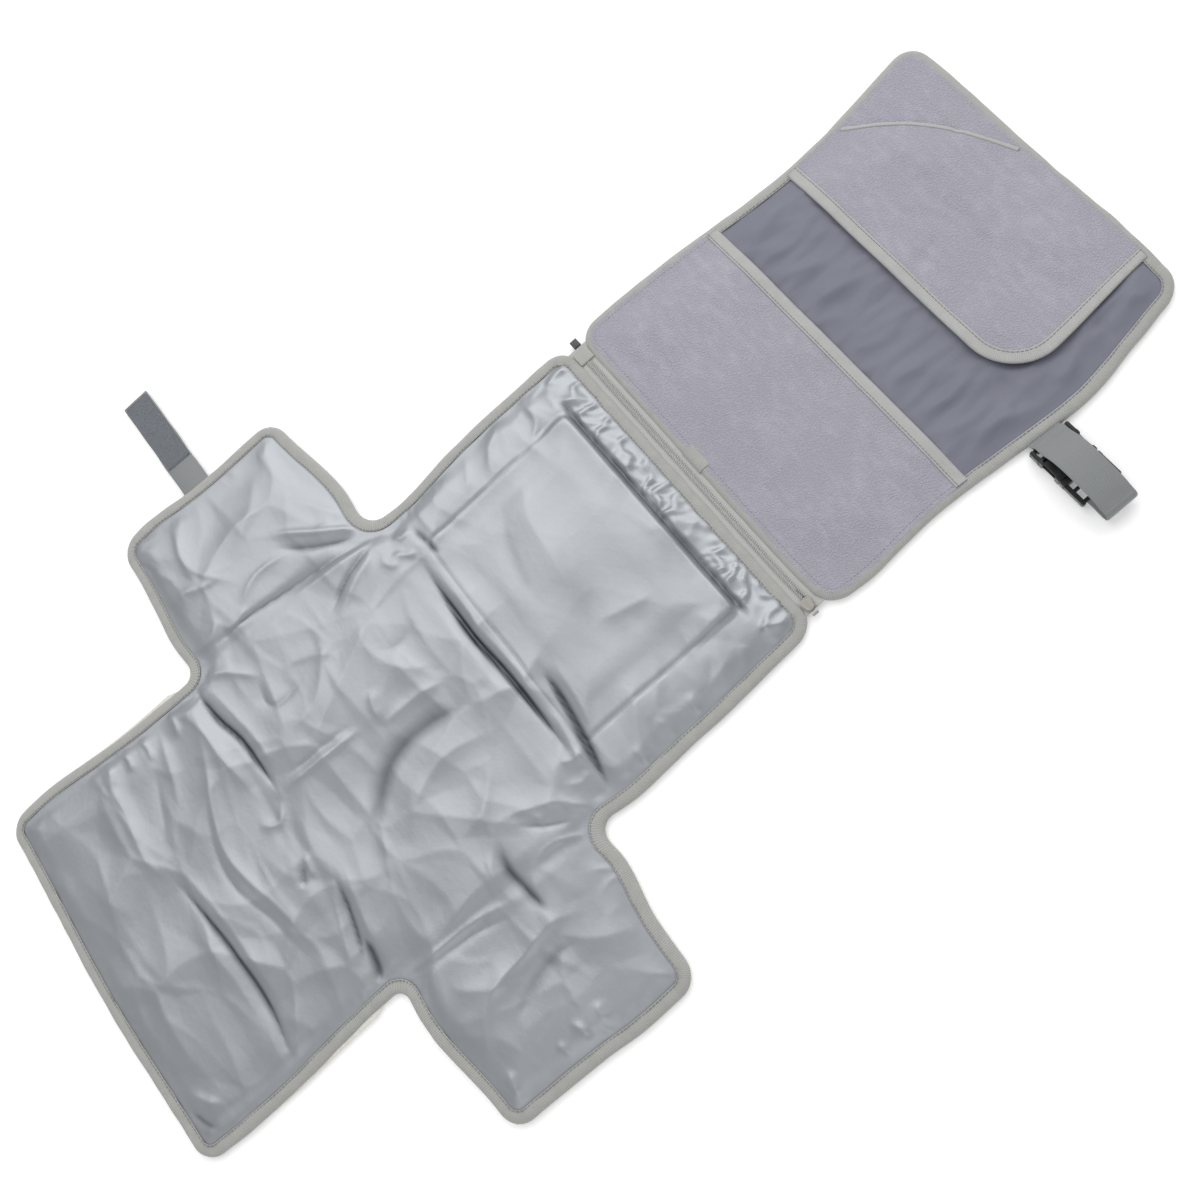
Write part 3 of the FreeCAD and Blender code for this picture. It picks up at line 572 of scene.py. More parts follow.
HEAD_CUT = FOLD_A + HEAD_TURN + SEAM
NECK_CUT = FOLD_A - HEAD_TURN
FOOT_CUT = FOLD_B + FOOT_TURN + SEAM

SHEET_ZONES = [
    ("mat_head", lambda x, y: y > HEAD_CUT, *HEAD_ZONE),
    ("mat_foot", lambda x, y: y < FOOT_CUT, *FOOT_ZONE),
    ("mat_centre", lambda x, y: (abs(x) < WING_EDGE - 1 * MM) | (y > NECK_CUT), *CENTRE_ZONE),
    ("left_wing", lambda x, y: x < 0, *wing_zone(-1)),
    ("right_wing", everywhere, *wing_zone(1)),
]


def edge_zones():
    """The same for what is sewn along the mat's edge, which turns the notches' corners."""
    top_start, top_end = (HALF - 2 * MM, NECK_CUT), (HALF + 11 * MM, NECK_CUT - 11 * MM)
    low_start, low_end = (HALF - 2 * MM, FOOT_CUT), (HALF + 9 * MM, FOOT_CUT + 8 * MM)
    top_line, top_reach = NECK_CUT - 18 * MM, HALF + 22 * MM
    low_line, low_reach = FOOT_CUT + 14 * MM, HALF + 16 * MM
    zones = [("mat_head", lambda x, y: y > HEAD_CUT, *HEAD_ZONE),
             ("mat_foot", lambda x, y: y < FOLD_B - FOOT_TURN - SEAM, "mat_foot"),
             ("mat_neck", lambda x, y: y > NECK_CUT, *CENTRE_ZONE),
             ("mat_waist", lambda x, y: y < FOOT_CUT, *FOOT_ZONE)]
    for side, word in ((-1, "left"), (1, "right")):
        zones += [
            (word + "_top_notch", lambda x, y, s=side: (s * x > 0) & (y > top_line) & (s * x < top_reach),
             *wing_zone(side, top_start, top_end)),
            (word + "_low_notch", lambda x, y, s=side: (s * x > 0) & (y < low_line) & (s * x < low_reach),
             *wing_zone(side, low_start, low_end)),
            (word + "_wing", lambda x, y, s=side: s * x > 0, word + "_wing")]
    return zones


EDGE_ZONES = edge_zones()
FLAP_CUT = FOLD_C - FLAP_TURN[0] - SEAM
CLUTCH_ZONES = [
    ("clutch_base", lambda x, y: y < FLAP_CUT, "clutch_base"),
    ("clutch_flap", everywhere, "clutch_base", "clutch_flap", row(FOLD_C - FLAP_TURN[0]), row(FOLD_C + FLAP_TURN[1])),
]


# ---------------------------------------------------------------- how the cloth lies

def smooth(value, start, end):
    share = np.clip((value - start) / (end - start), 0, 1)
    return share * share * (3 - 2 * share)


def waves(points, size, seed, count=9, stretch=(1, 1)):
    """Soft irregular ups and downs of about one size, between -1 and 1."""
    draw = np.random.default_rng(seed)
    total = np.zeros(len(points))
    for _ in range(count):
        angle, phase = draw.uniform(0, 2 * math.pi), draw.uniform(0, 2 * math.pi)
        length = size * draw.uniform(0.7, 1.5)
        across = points[:, 0] * math.cos(angle) * stretch[0] + points[:, 1] * math.sin(angle) * stretch[1]
        total += np.sin(across * 2 * math.pi / length + phase)
    return total / math.sqrt(count) / 1.5


def crumple(points, size, seed):
    """Sharp-backed small folds, between 0 and 1, as pressed cloth has."""
    warp = np.stack([waves(points, size * 2.2, seed + 1), waves(points, size * 2.2, seed + 2)], 1)
    return (1 - np.abs(waves(points + warp * size * 0.45, size * 2, seed, 7))).clip(0, 1) ** 3


def facets(points, size, seed):
    """Flat facets as stiff cloth makes, with crisp ridges: 1 on a ridge, 0 in a facet's middle."""
    draw = np.random.default_rng(seed)
    low_corner, high_corner = points.min(0) - size, points.max(0) + size
    columns, rows = np.ceil((high_corner - low_corner) / size).astype(int)
    grid = np.stack(np.meshgrid(np.arange(columns), np.arange(rows)), -1).reshape(-1, 2)
    middles = low_corner + (grid + draw.uniform(0.0, 1.0, grid.shape)) * size
    warp = np.stack([waves(points, size * 1.6, seed + 1), waves(points, size * 1.6, seed + 2)], 1)
    bent = points + warp * size * 0.22
    nearest = np.full(len(points), np.inf)
    second = np.full(len(points), np.inf)
    for spot in middles:
        away = np.hypot(bent[:, 0] - spot[0], bent[:, 1] - spot[1])
        second = np.minimum(second, np.maximum(nearest, away))
        nearest = np.minimum(nearest, away)
    return (1 - ((second - nearest) / size).clip(0, 1)) ** 1.7


def curve_through(marks, step=4 * MM):
    """A smooth line through a few marked points, given in millimetres."""
    marks = np.array(marks, float) * MM
    if len(marks) == 2:
        return np.linspace(marks[0], marks[1], max(3, int(np.linalg.norm(marks[1] - marks[0]) / step)))
    ends = np.vstack([2 * marks[0] - marks[1], marks, 2 * marks[-1] - marks[-2]])
    line = []
    for a, b, c, d in zip(ends, ends[1:], ends[2:], ends[3:]):
        for t in np.linspace(0, 1, max(3, int(np.linalg.norm(c - b) / step)), endpoint=False):
            line.append(0.5 * (2 * b + (c - a) * t + (2 * a - 5 * b + 4 * c - d) * t ** 2
                               + (3 * b - a - 3 * c + d) * t ** 3))
    return np.array(line + [marks[-1]])


FADE = 0.35                                    # share of a crease over which each end dies away


def crease(points, marks, rise, left, right=None):
    """A fold along a line: rise at its back, falling away over the left and the right width."""
    line = curve_through(marks)
    left, right, rise = left * MM, (right or left) * MM, rise * MM
    reach = 3 * max(left, right)
    near = ((points > line.min(0) - reach) & (points < line.max(0) + reach)).all(1)
    some = points[near]
    best = np.full(len(some), np.inf)
    side = np.ones(len(some))
    share = np.zeros(len(some))
    for index, (start, end) in enumerate(zip(line, line[1:])):
        run = end - start
        t = np.clip((some - start) @ run / (run @ run), 0, 1)
        gap = some - start - t[:, None] * run
        away = np.linalg.norm(gap, axis=1)
        closer = away < best
        best[closer] = away[closer]
        side[closer] = np.sign(run[0] * gap[closer, 1] - run[1] * gap[closer, 0])
        share[closer] = (index + t[closer]) / (len(line) - 1)
    width = np.where(side > 0, left, right)
    taper = smooth(share, -0.02, FADE) * smooth(1.02 - share, 0, FADE)
    height = np.zeros(len(points))
    height[near] = rise * taper * np.exp(-(best / width) ** 1.15)
    return height


# How the cloth was laid down, where it strays from its cut shape: place, shift across and along, reach, in mm.
LIE = [
    # the clutch draws in beside its fold, and its far edge curls
    ((-150, 335), (15, 0), 105), ((150, 232), (-6, 0), 55), ((152, 462), (-13, -6), 62), ((0, 462), (0, -3.5), 95),
    ((-150, 466), (0, -2), 40), ((152, 132), (-4, 3), 30), ((148, 350), (3, 0), 34),
    # the head leans to the right towards the centre
    ((-150, -58), (7, 0), 48), ((150, -52), (7, 0), 42), ((150, 20), (4, 0), 50),
    # the wings widen towards the mat
    ((-186, -93), (0, 11), 50), ((176, -92), (0, 9), 34), ((-174, -262), (0, -8), 48), ((180, -262), (0, -11), 50),
    ((-276, -228), (-7, 0), 38), ((276, -138), (3, 0), 34),
    # the foot spreads, and its free end bows out
    ((-152, -420), (-8, 0), 58), ((152, -385), (4, 0), 60), ((10, -462), (0, -6), 105),
]


def settle(piece):
    """Shift a piece's points from the cut shape to how the cloth was laid."""
    spots = np.empty(len(piece.data.vertices) * 3)
    piece.data.vertices.foreach_get("co", spots)
    spots = spots.reshape(-1, 3)
    shift = np.zeros((len(spots), 2))
    for place, move, reach in LIE:
        away = ((spots[:, :2] - np.array(place) * MM) ** 2).sum(1)
        shift += np.exp(-away / (reach * MM) ** 2)[:, None] * np.array(move) * MM
    spots[:, :2] += shift
    piece.data.vertices.foreach_set("co", spots.ravel())
    piece.data.update()


# Folds pressed into the mat's cover: marks, rise at the back, width to the left and to the right, all in mm.
MAT_CREASES = [
    # the fold between head and centre: two deep slits and the puckers at its left end
    ([(-92, -69), (-21, -72), (30, -69), (81, -69), (101, -70)], -6.0, 2.0, 2.4),
    ([(-85, -62), (-20, -63), (40, -60), (80, -61)], 1.6, 7, 4),
    ([(-80, -79), (-20, -81), (40, -79), (90, -79)], 1.8, 5, 9),
    ([(30, -46), (58, -49), (90, -54), (118, -60), (138, -66)], -4.6, 3.2, 2.6),
    ([(34, -38), (70, -40), (105, -47)], 1.4, 8, 4),
    ([(60, -58), (90, -62), (112, -66)], 1.2, 4, 4),
    ([(-121, -61), (-100, -56), (-80, -54)], -2.4, 2.5, 3),
    ([(-126, -77), (-118, -70), (-122, -63)], 2.2, 4, 4),
    ([(-112, -84), (-104, -76), (-96, -66)], 2.2, 4, 4),
    ([(-118, -92), (-106, -90), (-98, -82)], 1.3, 3, 4),
    ([(96, -80), (103, -70), (100, -58)], 2.4, 4, 5),
    ([(112, -86), (118, -74), (112, -66)], 1.4, 4, 4),
    # the left wing
    ([(-143, -82), (-164, -120), (-196, -155)], 3.0, 4.5, 3),
    ([(-140, -92), (-156, -128), (-182, -158)], -2.2, 3, 3),
    ([(-148, -84), (-178, -112), (-215, -130)], 1.8, 7, 5),
    ([(-136, -80), (-138, -110), (-146, -163), (-151, -200), (-153, -250)], -2.0, 2.4, 2.4),
    ([(-132, -90), (-134, -130), (-140, -170)], 1.3, 4, 3),
    ([(-133, -88), (-121, -120), (-106, -150)], -2.2, 2.6, 3),
    ([(-125, -92), (-110, -122), (-96, -148)], 1.5, 4, 5),
    ([(-170, -146), (-173, -177), (-161, -200)], 1.8, 5, 4),
    ([(-160, -196), (-152, -208), (-156, -222)], 1.6, 4, 4),
    ([(-266, -205), (-220, -216), (-176, -190)], 1.9, 7, 4),
    ([(-208, -236), (-196, -215), (-192, -200)], 1.6, 5, 4),
    ([(-250, -130), (-222, -150), (-196, -186)], 1.5, 12, 8),
    ([(-240, -245), (-216, -232), (-186, -232)], 1.2, 6, 5),
    ([(-162, -250), (-158, -232), (-168, -214)], 1.4, 4, 4),
    # the centre
    ([(-141, -256), (-128, -238), (-106, -220)], 1.8, 4, 4),
    ([(-108, -222), (-88, -228), (-78, -220), (-84, -190)], -1.4, 3.5, 3.5),
    ([(-100, -206), (-92, -180), (-74, -160)], 1.4, 8, 6),
    ([(-24, -257), (-21, -216), (-20, -178)], 1.9, 3, 3),
    ([(-30, -252), (-28, -216), (-27, -184)], -1.3, 2.4, 2.4),
    ([(-39, -157), (-24, -163), (-10, -165)], 1.7, 5, 4),
    ([(-10, -168), (-10, -135), (-4, -106)], 1.7, 4, 6),
    ([(30, -86), (12, -138), (17, -180), (46, -213), (68, -228)], -2.4, 9, 13),
    ([(52, -92), (40, -140), (52, -178), (80, -205)], 2.2, 13, 13),
    ([(-14, -100), (-34, -128), (-66, -140), (-98, -128)], 1.7, 11, 8),
    ([(-60, -100), (-50, -118), (-58, -140)], -1.2, 8, 7),
    ([(-112, -160), (-84, -172), (-60, -196), (-52, -232)], 1.5, 9, 7),
    ([(145, -76), (120, -96), (106, -126), (104, -143)], 1.7, 4, 5),
    ([(152, -90), (140, -118), (144, -142)], 1.6, 4, 4),
    ([(136, -92), (128, -112), (112, -132)], -1.5, 3.5, 3.5),
    ([(60, -116), (88, -140), (96, -170)], 1.5, 7, 6),
    # the right wing
    ([(108, -147), (133, -153), (158, -151), (182, -147)], -2.8, 4, 5),
    ([(112, -160), (136, -164), (160, -163)], 1.6, 5, 8),
    ([(191, -127), (182, -150), (186, -178), (194, -213), (228, -242)], 2.8, 5, 11),
    ([(206, -134), (200, -158), (206, -186), (222, -218)], -1.6, 9, 9),
    ([(153, -161), (146, -190), (144, -232), (142, -266)], 1.7, 2.6, 3),
    ([(160, -170), (152, -200), (150, -240)], -1.3, 3, 3),
    ([(168, -232), (186, -214), (200, -190)], 1.5, 8, 7),
    ([(256, -158), (248, -160), (240, -156)], 1.6, 3, 3),
    ([(258, -176), (250, -176), (240, -181)], 2.0, 4, 3),
    ([(260, -194), (251, -195), (246, -199)], 1.6, 3, 3),
    ([(258, -236), (248, -238), (238, -232)], 1.7, 4, 4),
    # the fold between centre and foot
    ([(-142, -265), (-106, -267), (-74, -261), (-24, -260)], -5.0, 2.2, 2.4),
    ([(-136, -256), (-100, -254), (-66, -250), (-34, -251)], 1.4, 5, 4),
    ([(-134, -277), (-86, -280), (-44, -276), (-22, -279)], 2.0, 4, 6),
    ([(-20, -262), (-6, -272), (-16, -288)], 1.9, 4, 4),
    ([(98, -267), (118, -268), (140, -273)], -3.0, 4, 4),
    ([(30, -274), (38, -279), (46, -283)], -2.2, 3, 3),
    ([(24, -268), (34, -271), (46, -272)], 1.5, 3, 3),
    ([(48, -257), (86, -267), (124, -278)], -2.6, 3, 3),
    ([(52, -249), (88, -257), (112, -262)], 1.4, 4, 4),
    ([(56, -266), (88, -276), (116, -287)], 1.3, 4, 4),
    # the foot
    ([(-136, -367), (-97, -367), (-56, -372), (-30, -366)], 1.9, 4, 7),
    ([(-131, -311), (-97, -320), (-67, -331)], 1.7, 5, 6),
    ([(-112, -330), (-84, -340), (-56, -352)], -1.1, 5, 5),
    ([(-34, -364), (10, -357), (58, -353), (96, -354), (128, -359), (141, -359)], -3.4, 2.2, 3.4),
    ([(-30, -354), (14, -347), (60, -344), (104, -345)], 1.7, 8, 4),
    ([(10, -368), (58, -363), (104, -364)], 1.2, 4, 9),
    ([(-128, -274), (-80, -294), (-39, -312), (-8, -318), (42, -307), (84, -300), (110, -297)], 1.8, 4, 5),
    ([(-70, -303), (-30, -322), (6, -327), (48, -316), (96, -309)], -1.2, 4, 4),
    ([(-141, -364), (-126, -362), (-114, -366)], 1.5, 3, 3),
    ([(-139, -346), (-126, -344), (-116, -347)], 1.7, 3, 3),
    ([(-138, -329), (-124, -326), (-112, -329)], 1.5, 3, 3),
    ([(-140, -294), (-124, -296), (-112, -301)], 1.6, 3, 4),
    ([(112, -447), (126, -441), (138, -434)], -1.8, 4, 4),
    ([(100, -440), (116, -430), (126, -418)], 1.6, 5, 5),
    ([(-90, -430), (-50, -414), (-20, -400)], 1.2, 14, 14),
    ([(-100, -396), (-60, -410), (0, -412), (60, -400)], 1.4, 18, 14),
    # the head, round the raised rest
    ([(-136, 66), (-112, 66), (-96, 47)], 1.9, 4, 4),
    ([(-137, 47), (-119, 24), (-98, 12)], 1.7, 5, 5),
    ([(-132, 86), (-114, 84), (-98, 82)], 1.5, 4, 4),
    ([(-136, 8), (-118, 0), (-104, -10)], 1.1, 5, 5),
    ([(-92, 34), (-56, 16), (-20, 11), (38, 3)], 2.2, 9, 15),
    ([(38, 3), (46, 26), (52, 52)], 1.5, 14, 7),
    ([(-86, 8), (-40, -12), (10, -20)], -1.2, 12, 12),
    ([(112, 73), (131, 64), (136, 30)], 1.6, 6, 5),
    ([(110, 52), (122, 40), (126, 18)], -1.0, 6, 6),
    ([(141, -36), (130, -30), (120, -34)], 1.5, 4, 4),
    ([(140, -6), (128, -3), (116, -8)], 1.4, 4, 4),
    ([(139, 22), (128, 20), (118, 24)], 1.3, 3, 3),
]

def pleats(points, pitch, seed, lean=0.0):
    """Sharp-backed folds side by side across X, irregular in pitch and lean, between 0 and 1."""
    warp = waves(points, 60 * MM, seed) * pitch * 0.9 + waves(points, 24 * MM, seed + 1) * pitch * 0.35
    across = points[:, 0] + points[:, 1] * lean + warp
    return (1 - np.abs(np.sin(across * math.pi / pitch))) ** 1.3


def pillow_outline():
    (x, near, _), far, radius = PILLOW_HIGH * 1, PILLOW_LOW.y, 7 * MM
    return rounded([(x, far, radius), (x, near, radius), (-x, near, radius), (-x, far, radius)])


def mat_height(points):
    """Height of the mat's top, and the share of painted shade at each point (in folds, beside the binding and round
    the head rest): panels, head rest, folds, crumples.
    """
    within, _ = depth(points, MAT_OUTLINE)
    x, y = points[:, 0], points[:, 1]
    free = smooth(within, 8 * MM, 24 * MM)
    height = 2.2 * MM * smooth(within, 6 * MM, 42 * MM)
    for away in (np.abs(y - FOLD_A), np.abs(y - FOLD_B), np.abs(np.abs(x) - WING_X - 3 * MM)):
        height -= 1.3 * MM * (1 - smooth(away, 0, 13 * MM))
    swell = waves(points, 110 * MM, 3) * 1.3 + waves(points, 55 * MM, 5, stretch=(1, 0.7)) * 0.3
    height += free * swell * MM
    rest, _ = depth(points, pillow_outline())
    calm = 1 - 0.75 * smooth(rest, 0, 20 * MM)
    planes = facets(points, 78 * MM, 11) * 2.7 + facets(points * (0.5, 1), 36 * MM, 12) * 1.2
    height += free * calm * planes * MM

    above = PILLOW_HIGH.y - y
    over = 1 - smooth(np.abs(x), PILLOW_HIGH.x, PILLOW_HIGH.x + 14 * MM)
    lip = smooth(above, -1.5 * MM, 3.5 * MM) * smooth(rest, -4 * MM, 1 * MM)
    height += 3.4 * MM * lip * (1 - smooth(above, 8 * MM, 60 * MM))
    height += 3.4 * MM * smooth(rest, 0, 34 * MM)
    height -= 2.6 * MM * np.exp(-((above + 2.4 * MM) / (2.2 * MM)) ** 2) * over
    height -= 0.9 * MM * np.exp(-(rest / (1.5 * MM)) ** 2)
    strip = smooth(y, PILLOW_HIGH.y - 1 * MM, PILLOW_HIGH.y + 7 * MM)
    height += 2.3 * MM * strip * pleats(points, 23 * MM, 21, 0.7)
    height += 0.8 * MM * strip * pleats(points, 14 * MM, 25, -0.9)
    rim = (1 - smooth(within, 10 * MM, 24 * MM)) * (1 - strip) * smooth(waves(points, 90 * MM, 27), -0.1, 0.5)
    height += 1.2 * MM * rim * crumple(points, 13 * MM, 29)

    edge = smooth(within, 7 * MM, 15 * MM)
    # painted shade in metres, later scaled to a share: a band beside the binding, the shadow under the head rest's lip
    # and at its stitched edge, and the shadow down in deep folds
    painted_shade = 2.6 * MM * (1 - smooth(within, 8.5 * MM, 10.5 * MM))
    painted_shade += 3.0 * MM * np.exp(-((above + 1.9 * MM) / (1.7 * MM)) ** 2) * over
    painted_shade += 1.0 * MM * np.exp(-(rest / (0.9 * MM)) ** 2)
    for marks, rise, left, *right in MAT_CREASES:
        fold = crease(points, marks, rise, left, *right) * edge
        height += fold
        painted_shade += np.maximum(-fold - 0.8 * MM, 0) * 1.6
    beside = np.minimum(np.abs(y - FOLD_A), np.abs(y - FOLD_B))
    floor = (0.35 - 2.4 * np.exp(-(beside / (5 * MM)) ** 2) * smooth(within, 12 * MM, 22 * MM)) * MM
    height = floor + np.logaddexp(0, (height - floor) / (0.5 * MM)) * 0.5 * MM
    return COVER_LEVEL + height * smooth(within, 5 * MM, 13 * MM), (painted_shade / (3.2 * MM)).clip(0, 1)


# ---------------------------------------------------------------- tapes and stitches

BINDING_PROFILE = [  # inset from the outer edge and height, in mm, round the folded tape
    (9.6, 5.35), (9.3, 5.95), (8.3, 6.05), (7.6, 5.75), (6.9, 6.1), (4.2, 6.1), (2.0, 5.55), (0.6, 4.4),
    (0.0, 2.8), (0.6, 1.3), (1.9, 0.35), (4.0, 0.0), (9.5, 0.0), (9.5, 0.6), (4.0, 0.7), (1.6, 1.5),
    (1.1, 2.8), (1.7, 4.2), (3.2, 5.0), (6.5, 5.3)]


def tape_points(line, profile, closed=True, ground=None, soft=0.0, seed=0):
    """Points of a tape that follows a line: one ring of the profile at each of the line's points."""
    _, left = sides(line, closed)
    profile = np.array(profile) * MM
    spot = line[:, None] + left[:, None] * profile[None, :, :1]
    rise = np.repeat(profile[None, :, 1], len(line), 0)
    if ground:
        rise = rise + ground(spot.reshape(-1, 2)).reshape(rise.shape)
    rings = np.concatenate([spot, rise[..., None]], 2)
    if soft:
        lift = waves(line, 26 * MM, seed, stretch=(1.3, 1)) * soft
        push = waves(line, 34 * MM, seed + 1) * soft
        upper = smooth(profile[:, 1], 1 * MM, 4 * MM)
        rings[..., 2] += lift[:, None] * upper
        rings[..., :2] += left[:, None] * (push[:, None] * smooth(profile[:, 0], 12 * MM, 2 * MM))[..., None]
    return rings


def tape_faces(count, size, closed=True):
    """Faces between the rings of a tape or a wire."""
    ring = np.arange(count if closed else count - 1)[:, None]
    spot = np.arange(size)[None]
    after, beside = (ring + 1) % count, (spot + 1) % size
    corners = [ring * size + spot, after * size + spot, after * size + beside, ring * size + beside]
    return np.stack(corners, -1).reshape(-1, 4)


def tape_run(at, profile, step, closed=True):
    """Lengthwise and crosswise distance at each corner of a tape's faces."""
    profile = np.array(profile) * MM
    around = np.concatenate([[0], np.cumsum(np.linalg.norm(np.roll(profile, -1, 0) - profile, axis=1))])
    count, size = len(at), len(profile)
    ring = np.arange(count if closed else count - 1)
    start = np.repeat(at[ring], size)
    across = np.tile(around[:-1], len(ring))
    beyond = np.tile(around[1:], len(ring))
    return np.stack([np.stack([start, across], 1), np.stack([start + step, across], 1),
                     np.stack([start + step, beyond], 1), np.stack([start, beyond], 1)], 1)


def tape_pieces(name, outline, profile, zones, material, soft=0.3 * MM, step=2.2 * MM, seed=0):
    """A closed loop of tape, shared out between the bodies that it is sewn to."""
    line, at = evenly(outline, step)
    points = tape_points(line, profile, soft=soft, seed=seed).reshape(-1, 3)
    quads = tape_faces(len(line), len(profile))[:, ::-1]
    run = tape_run(at, profile, step)[:, ::-1]
    normals = vertex_normals(points, quads)
    made = {}
    for word, mine, carried in portions(points, quads, zones):
        used, faces = np.unique(quads[mine], return_inverse=True)
        piece = mesh_object(word + name, points[used], faces.reshape(-1, 4), material,
                            normals[quads[mine]], run[mine])
        carry(piece, carried)
        made[word] = piece
    return made


STITCH = [(-1.0, 0.25), (-0.7, 0.9), (0.0, 1.0), (0.7, 0.9), (1.0, 0.25)]   # a stitch's ends and middle
STITCH_SIDES = 5


def stitches(line, height, pitch=3.1 * MM, thick=0.32 * MM, closed=True):
    """Points and faces of a row of sewn stitches along a line."""
    spots, _ = evenly(line, pitch, closed)
    ahead, left = sides(spots, closed)
    around = np.linspace(0, 2 * math.pi, STITCH_SIDES, endpoint=False)
    along = np.array([a for a, _ in STITCH for _ in around]) * pitch * 0.40
    wide = np.array([r * math.cos(t) for _, r in STITCH for t in around]) * thick
    tall = np.array([r * math.sin(t) for _, r in STITCH for t in around]) * thick
    flat = spots[:, None] + ahead[:, None] * along[:, None] + left[:, None] * wide[:, None]
    level = height(spots)[:, None] + tall[None]
    points = np.concatenate([flat, level[..., None]], 2).reshape(-1, 3)
    ring = tape_faces(len(STITCH), len(around), closed=False)
    quads = (ring[None] + (np.arange(len(spots)) * len(along))[:, None, None]).reshape(-1, 4)
    return points, quads


def stitch_pieces(name, line, height, zones, closed=True, **sizes):
    """A row of stitches, each one whole on the body that it is sewn to."""
    points, quads = stitches(line, height, closed=closed, **sizes)
    size = len(STITCH) * STITCH_SIDES
    whole = np.repeat(points.reshape(-1, size, 3).mean(1), size, 0)
    normals = vertex_normals(points, quads)
    for word, mine, carried in portions(whole, quads, zones):
        used, faces = np.unique(quads[mine], return_inverse=True)
        piece = mesh_object(word + name, points[used], faces.reshape(-1, 4), THREAD, normals[quads[mine]])
        carry(piece, carried)


# ---------------------------------------------------------------- the mat

def area_of(points, quads):
    """Area of a mesh as seen from above."""
    corners = points[quads][..., :2]
    first, second = corners[:, 2] - corners[:, 0], corners[:, 3] - corners[:, 1]
    return abs(first[:, 0] * second[:, 1] - first[:, 1] * second[:, 0]).sum() / 2


def declare_sheet(points, quads, rests_on):
    """Work out a cloth's cut size, the flat outline's box and the area inside the outline; the result is not kept."""
    flat = points[np.unique(quads)][:, :2]
    width, length = flat.max(0) - flat.min(0)
    min(area_of(points, quads), width * length)


def cloth_pieces(points, quads, zones, endings, material, painted_shade=None):
    """A cloth in one piece for each panel; the endings are those of the pieces' and the nodes' names."""
    normals = vertex_normals(points, quads)
    for panel, mine, carried in portions(points, quads, zones):
        piece = cloth_body(panel + endings[0], points, quads[mine], normals, CLOTH, material)
        # painted shade: the share of shade goes onto the piece as its fold attribute, which darkens the silver
        if painted_shade is not None:
            fold = np.tile(painted_shade[np.unique(quads[mine])], 2)
            piece.data.attributes.new("fold", "FLOAT", "POINT").data.foreach_set("value", fold.astype(np.float32))
        carry(piece, carried)
        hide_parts(panel + endings[1])
        declare_sheet(points, quads[mine], [panel + "_foam_slab"])


def mat_cover():
    points, quads = lay(inset(MAT_OUTLINE, TUCK), 1.7 * MM)
    height, painted_shade = mat_height(points)
    points = np.column_stack([points, height])
    cloth_pieces(points, quads, SHEET_ZONES, ("_cover", "_top_cover"), SILVER, painted_shade)


def mat_back():
    points, quads = lay(inset(MAT_OUTLINE, TUCK), 4.5 * MM)
    points = np.column_stack([points, CLOTH + 0.35 * MM + 0.25 * MM * waves(points, 60 * MM, 31)])
    cloth_pieces(points, quads, SHEET_ZONES, ("_back", "_back_cover"), SHELL)


def slab(name, node, body, low_z, high_z, edge=8 * MM, shrink=1.5 * MM):
    """A foam slab with soft edges, cut like the node that it stands for."""
    corners = np.array([low(node)[:2], high(node)[:2]])
    if "wing" in node:
        corners[:, 1] = WING_LOW, WING_TOP
    (x0, y0), (x1, y1) = corners.min(0) + shrink, corners.max(0) - shrink
    points, quads = lay(rounded([(x1, y0, edge), (x1, y1, edge), (x0, y1, edge), (x0, y0, edge)]), 8 * MM)
    within, _ = depth(points, rounded([(x1, y0, edge), (x1, y1, edge), (x0, y1, edge), (x0, y0, edge)]))
    thick = (high_z - low_z) * (0.75 + 0.25 * smooth(within, 0, edge))
    points = np.column_stack([points, low_z + thick + waves(points, 30 * MM, 41) * 0.08 * MM])
    normals = np.tile((0.0, 0.0, 1.0), (len(points), 1))
    piece = cloth_body(name, points, quads, normals, (high_z - low_z) * 0.75, FOAM)
    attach(piece, body)
    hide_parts(node)


def foams():
    """A foam slab in every panel, and a thicker one under the head rest."""
    for body in ("mat_head", "mat_centre", "mat_foot", "left_wing", "right_wing", "clutch_base", "clutch_flap"):
        node = body + "_foam"
        slab(node + "_slab", node, body, low(node).z + 0.3 * MM, high(node).z - 0.4 * MM)
    base = high("mat_head_foam").z
    slab("head_rest_foam", "mat_head_pillow_foam", "mat_head", base, base + 1.2 * MM, edge=14 * MM, shrink=12 * MM)


def bound_edge(outline, zones, seam, seed):
    """Binding tape round an edge, and its row of stitches at a distance from the edge."""
    tapes = tape_pieces("_binding_tape", outline, BINDING_PROFILE, zones, BINDING, seed=seed)
    for word, piece in tapes.items():
        if not word.endswith(("_neck", "_waist", "_notch")):
            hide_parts(word + "_binding")
    stitch_pieces("_edge_stitches", inset(outline, seam), lambda p: np.full(len(p), 6.15 * MM), zones)


def mat_edges():
    bound_edge(MAT_OUTLINE, EDGE_ZONES, 8.5 * MM, 51)


# ---------------------------------------------------------------- the clutch

LINING_RISE = 2.3                              # how much the rises below are raised
LINING_CREASES = [
    ([(-120, 262), (-118, 285), (-126, 308)], 1.2, 5), ([(-96, 264), (-90, 290), (-98, 318)], 1.5, 6),
    ([(-70, 264), (-66, 284), (-58, 300)], 1.1, 6), ([(-40, 264), (-36, 292), (-44, 320)], 1.3, 7),
    ([(-4, 296), (-4, 312), (-5, 324)], -1.0, 2), ([(10, 264), (20, 290), (14, 312)], 1.2, 7),
    ([(46, 264), (50, 282), (60, 300)], 1.1, 6), ([(74, 266), (86, 290), (82, 318)], 1.5, 7),
    ([(100, 264), (108, 290), (104, 316)], 1.3, 6), ([(86, 331), (112, 322), (133, 309)], -1.0, 2),
    ([(112, 396), (122, 398), (131, 394)], -1.2, 3), ([(116, 372), (124, 360), (120, 345)], 1.2, 4),
    ([(126, 280), (120, 300), (128, 330)], 1.3, 5), ([(112, 424), (124, 428), (132, 440)], 1.0, 5),
]


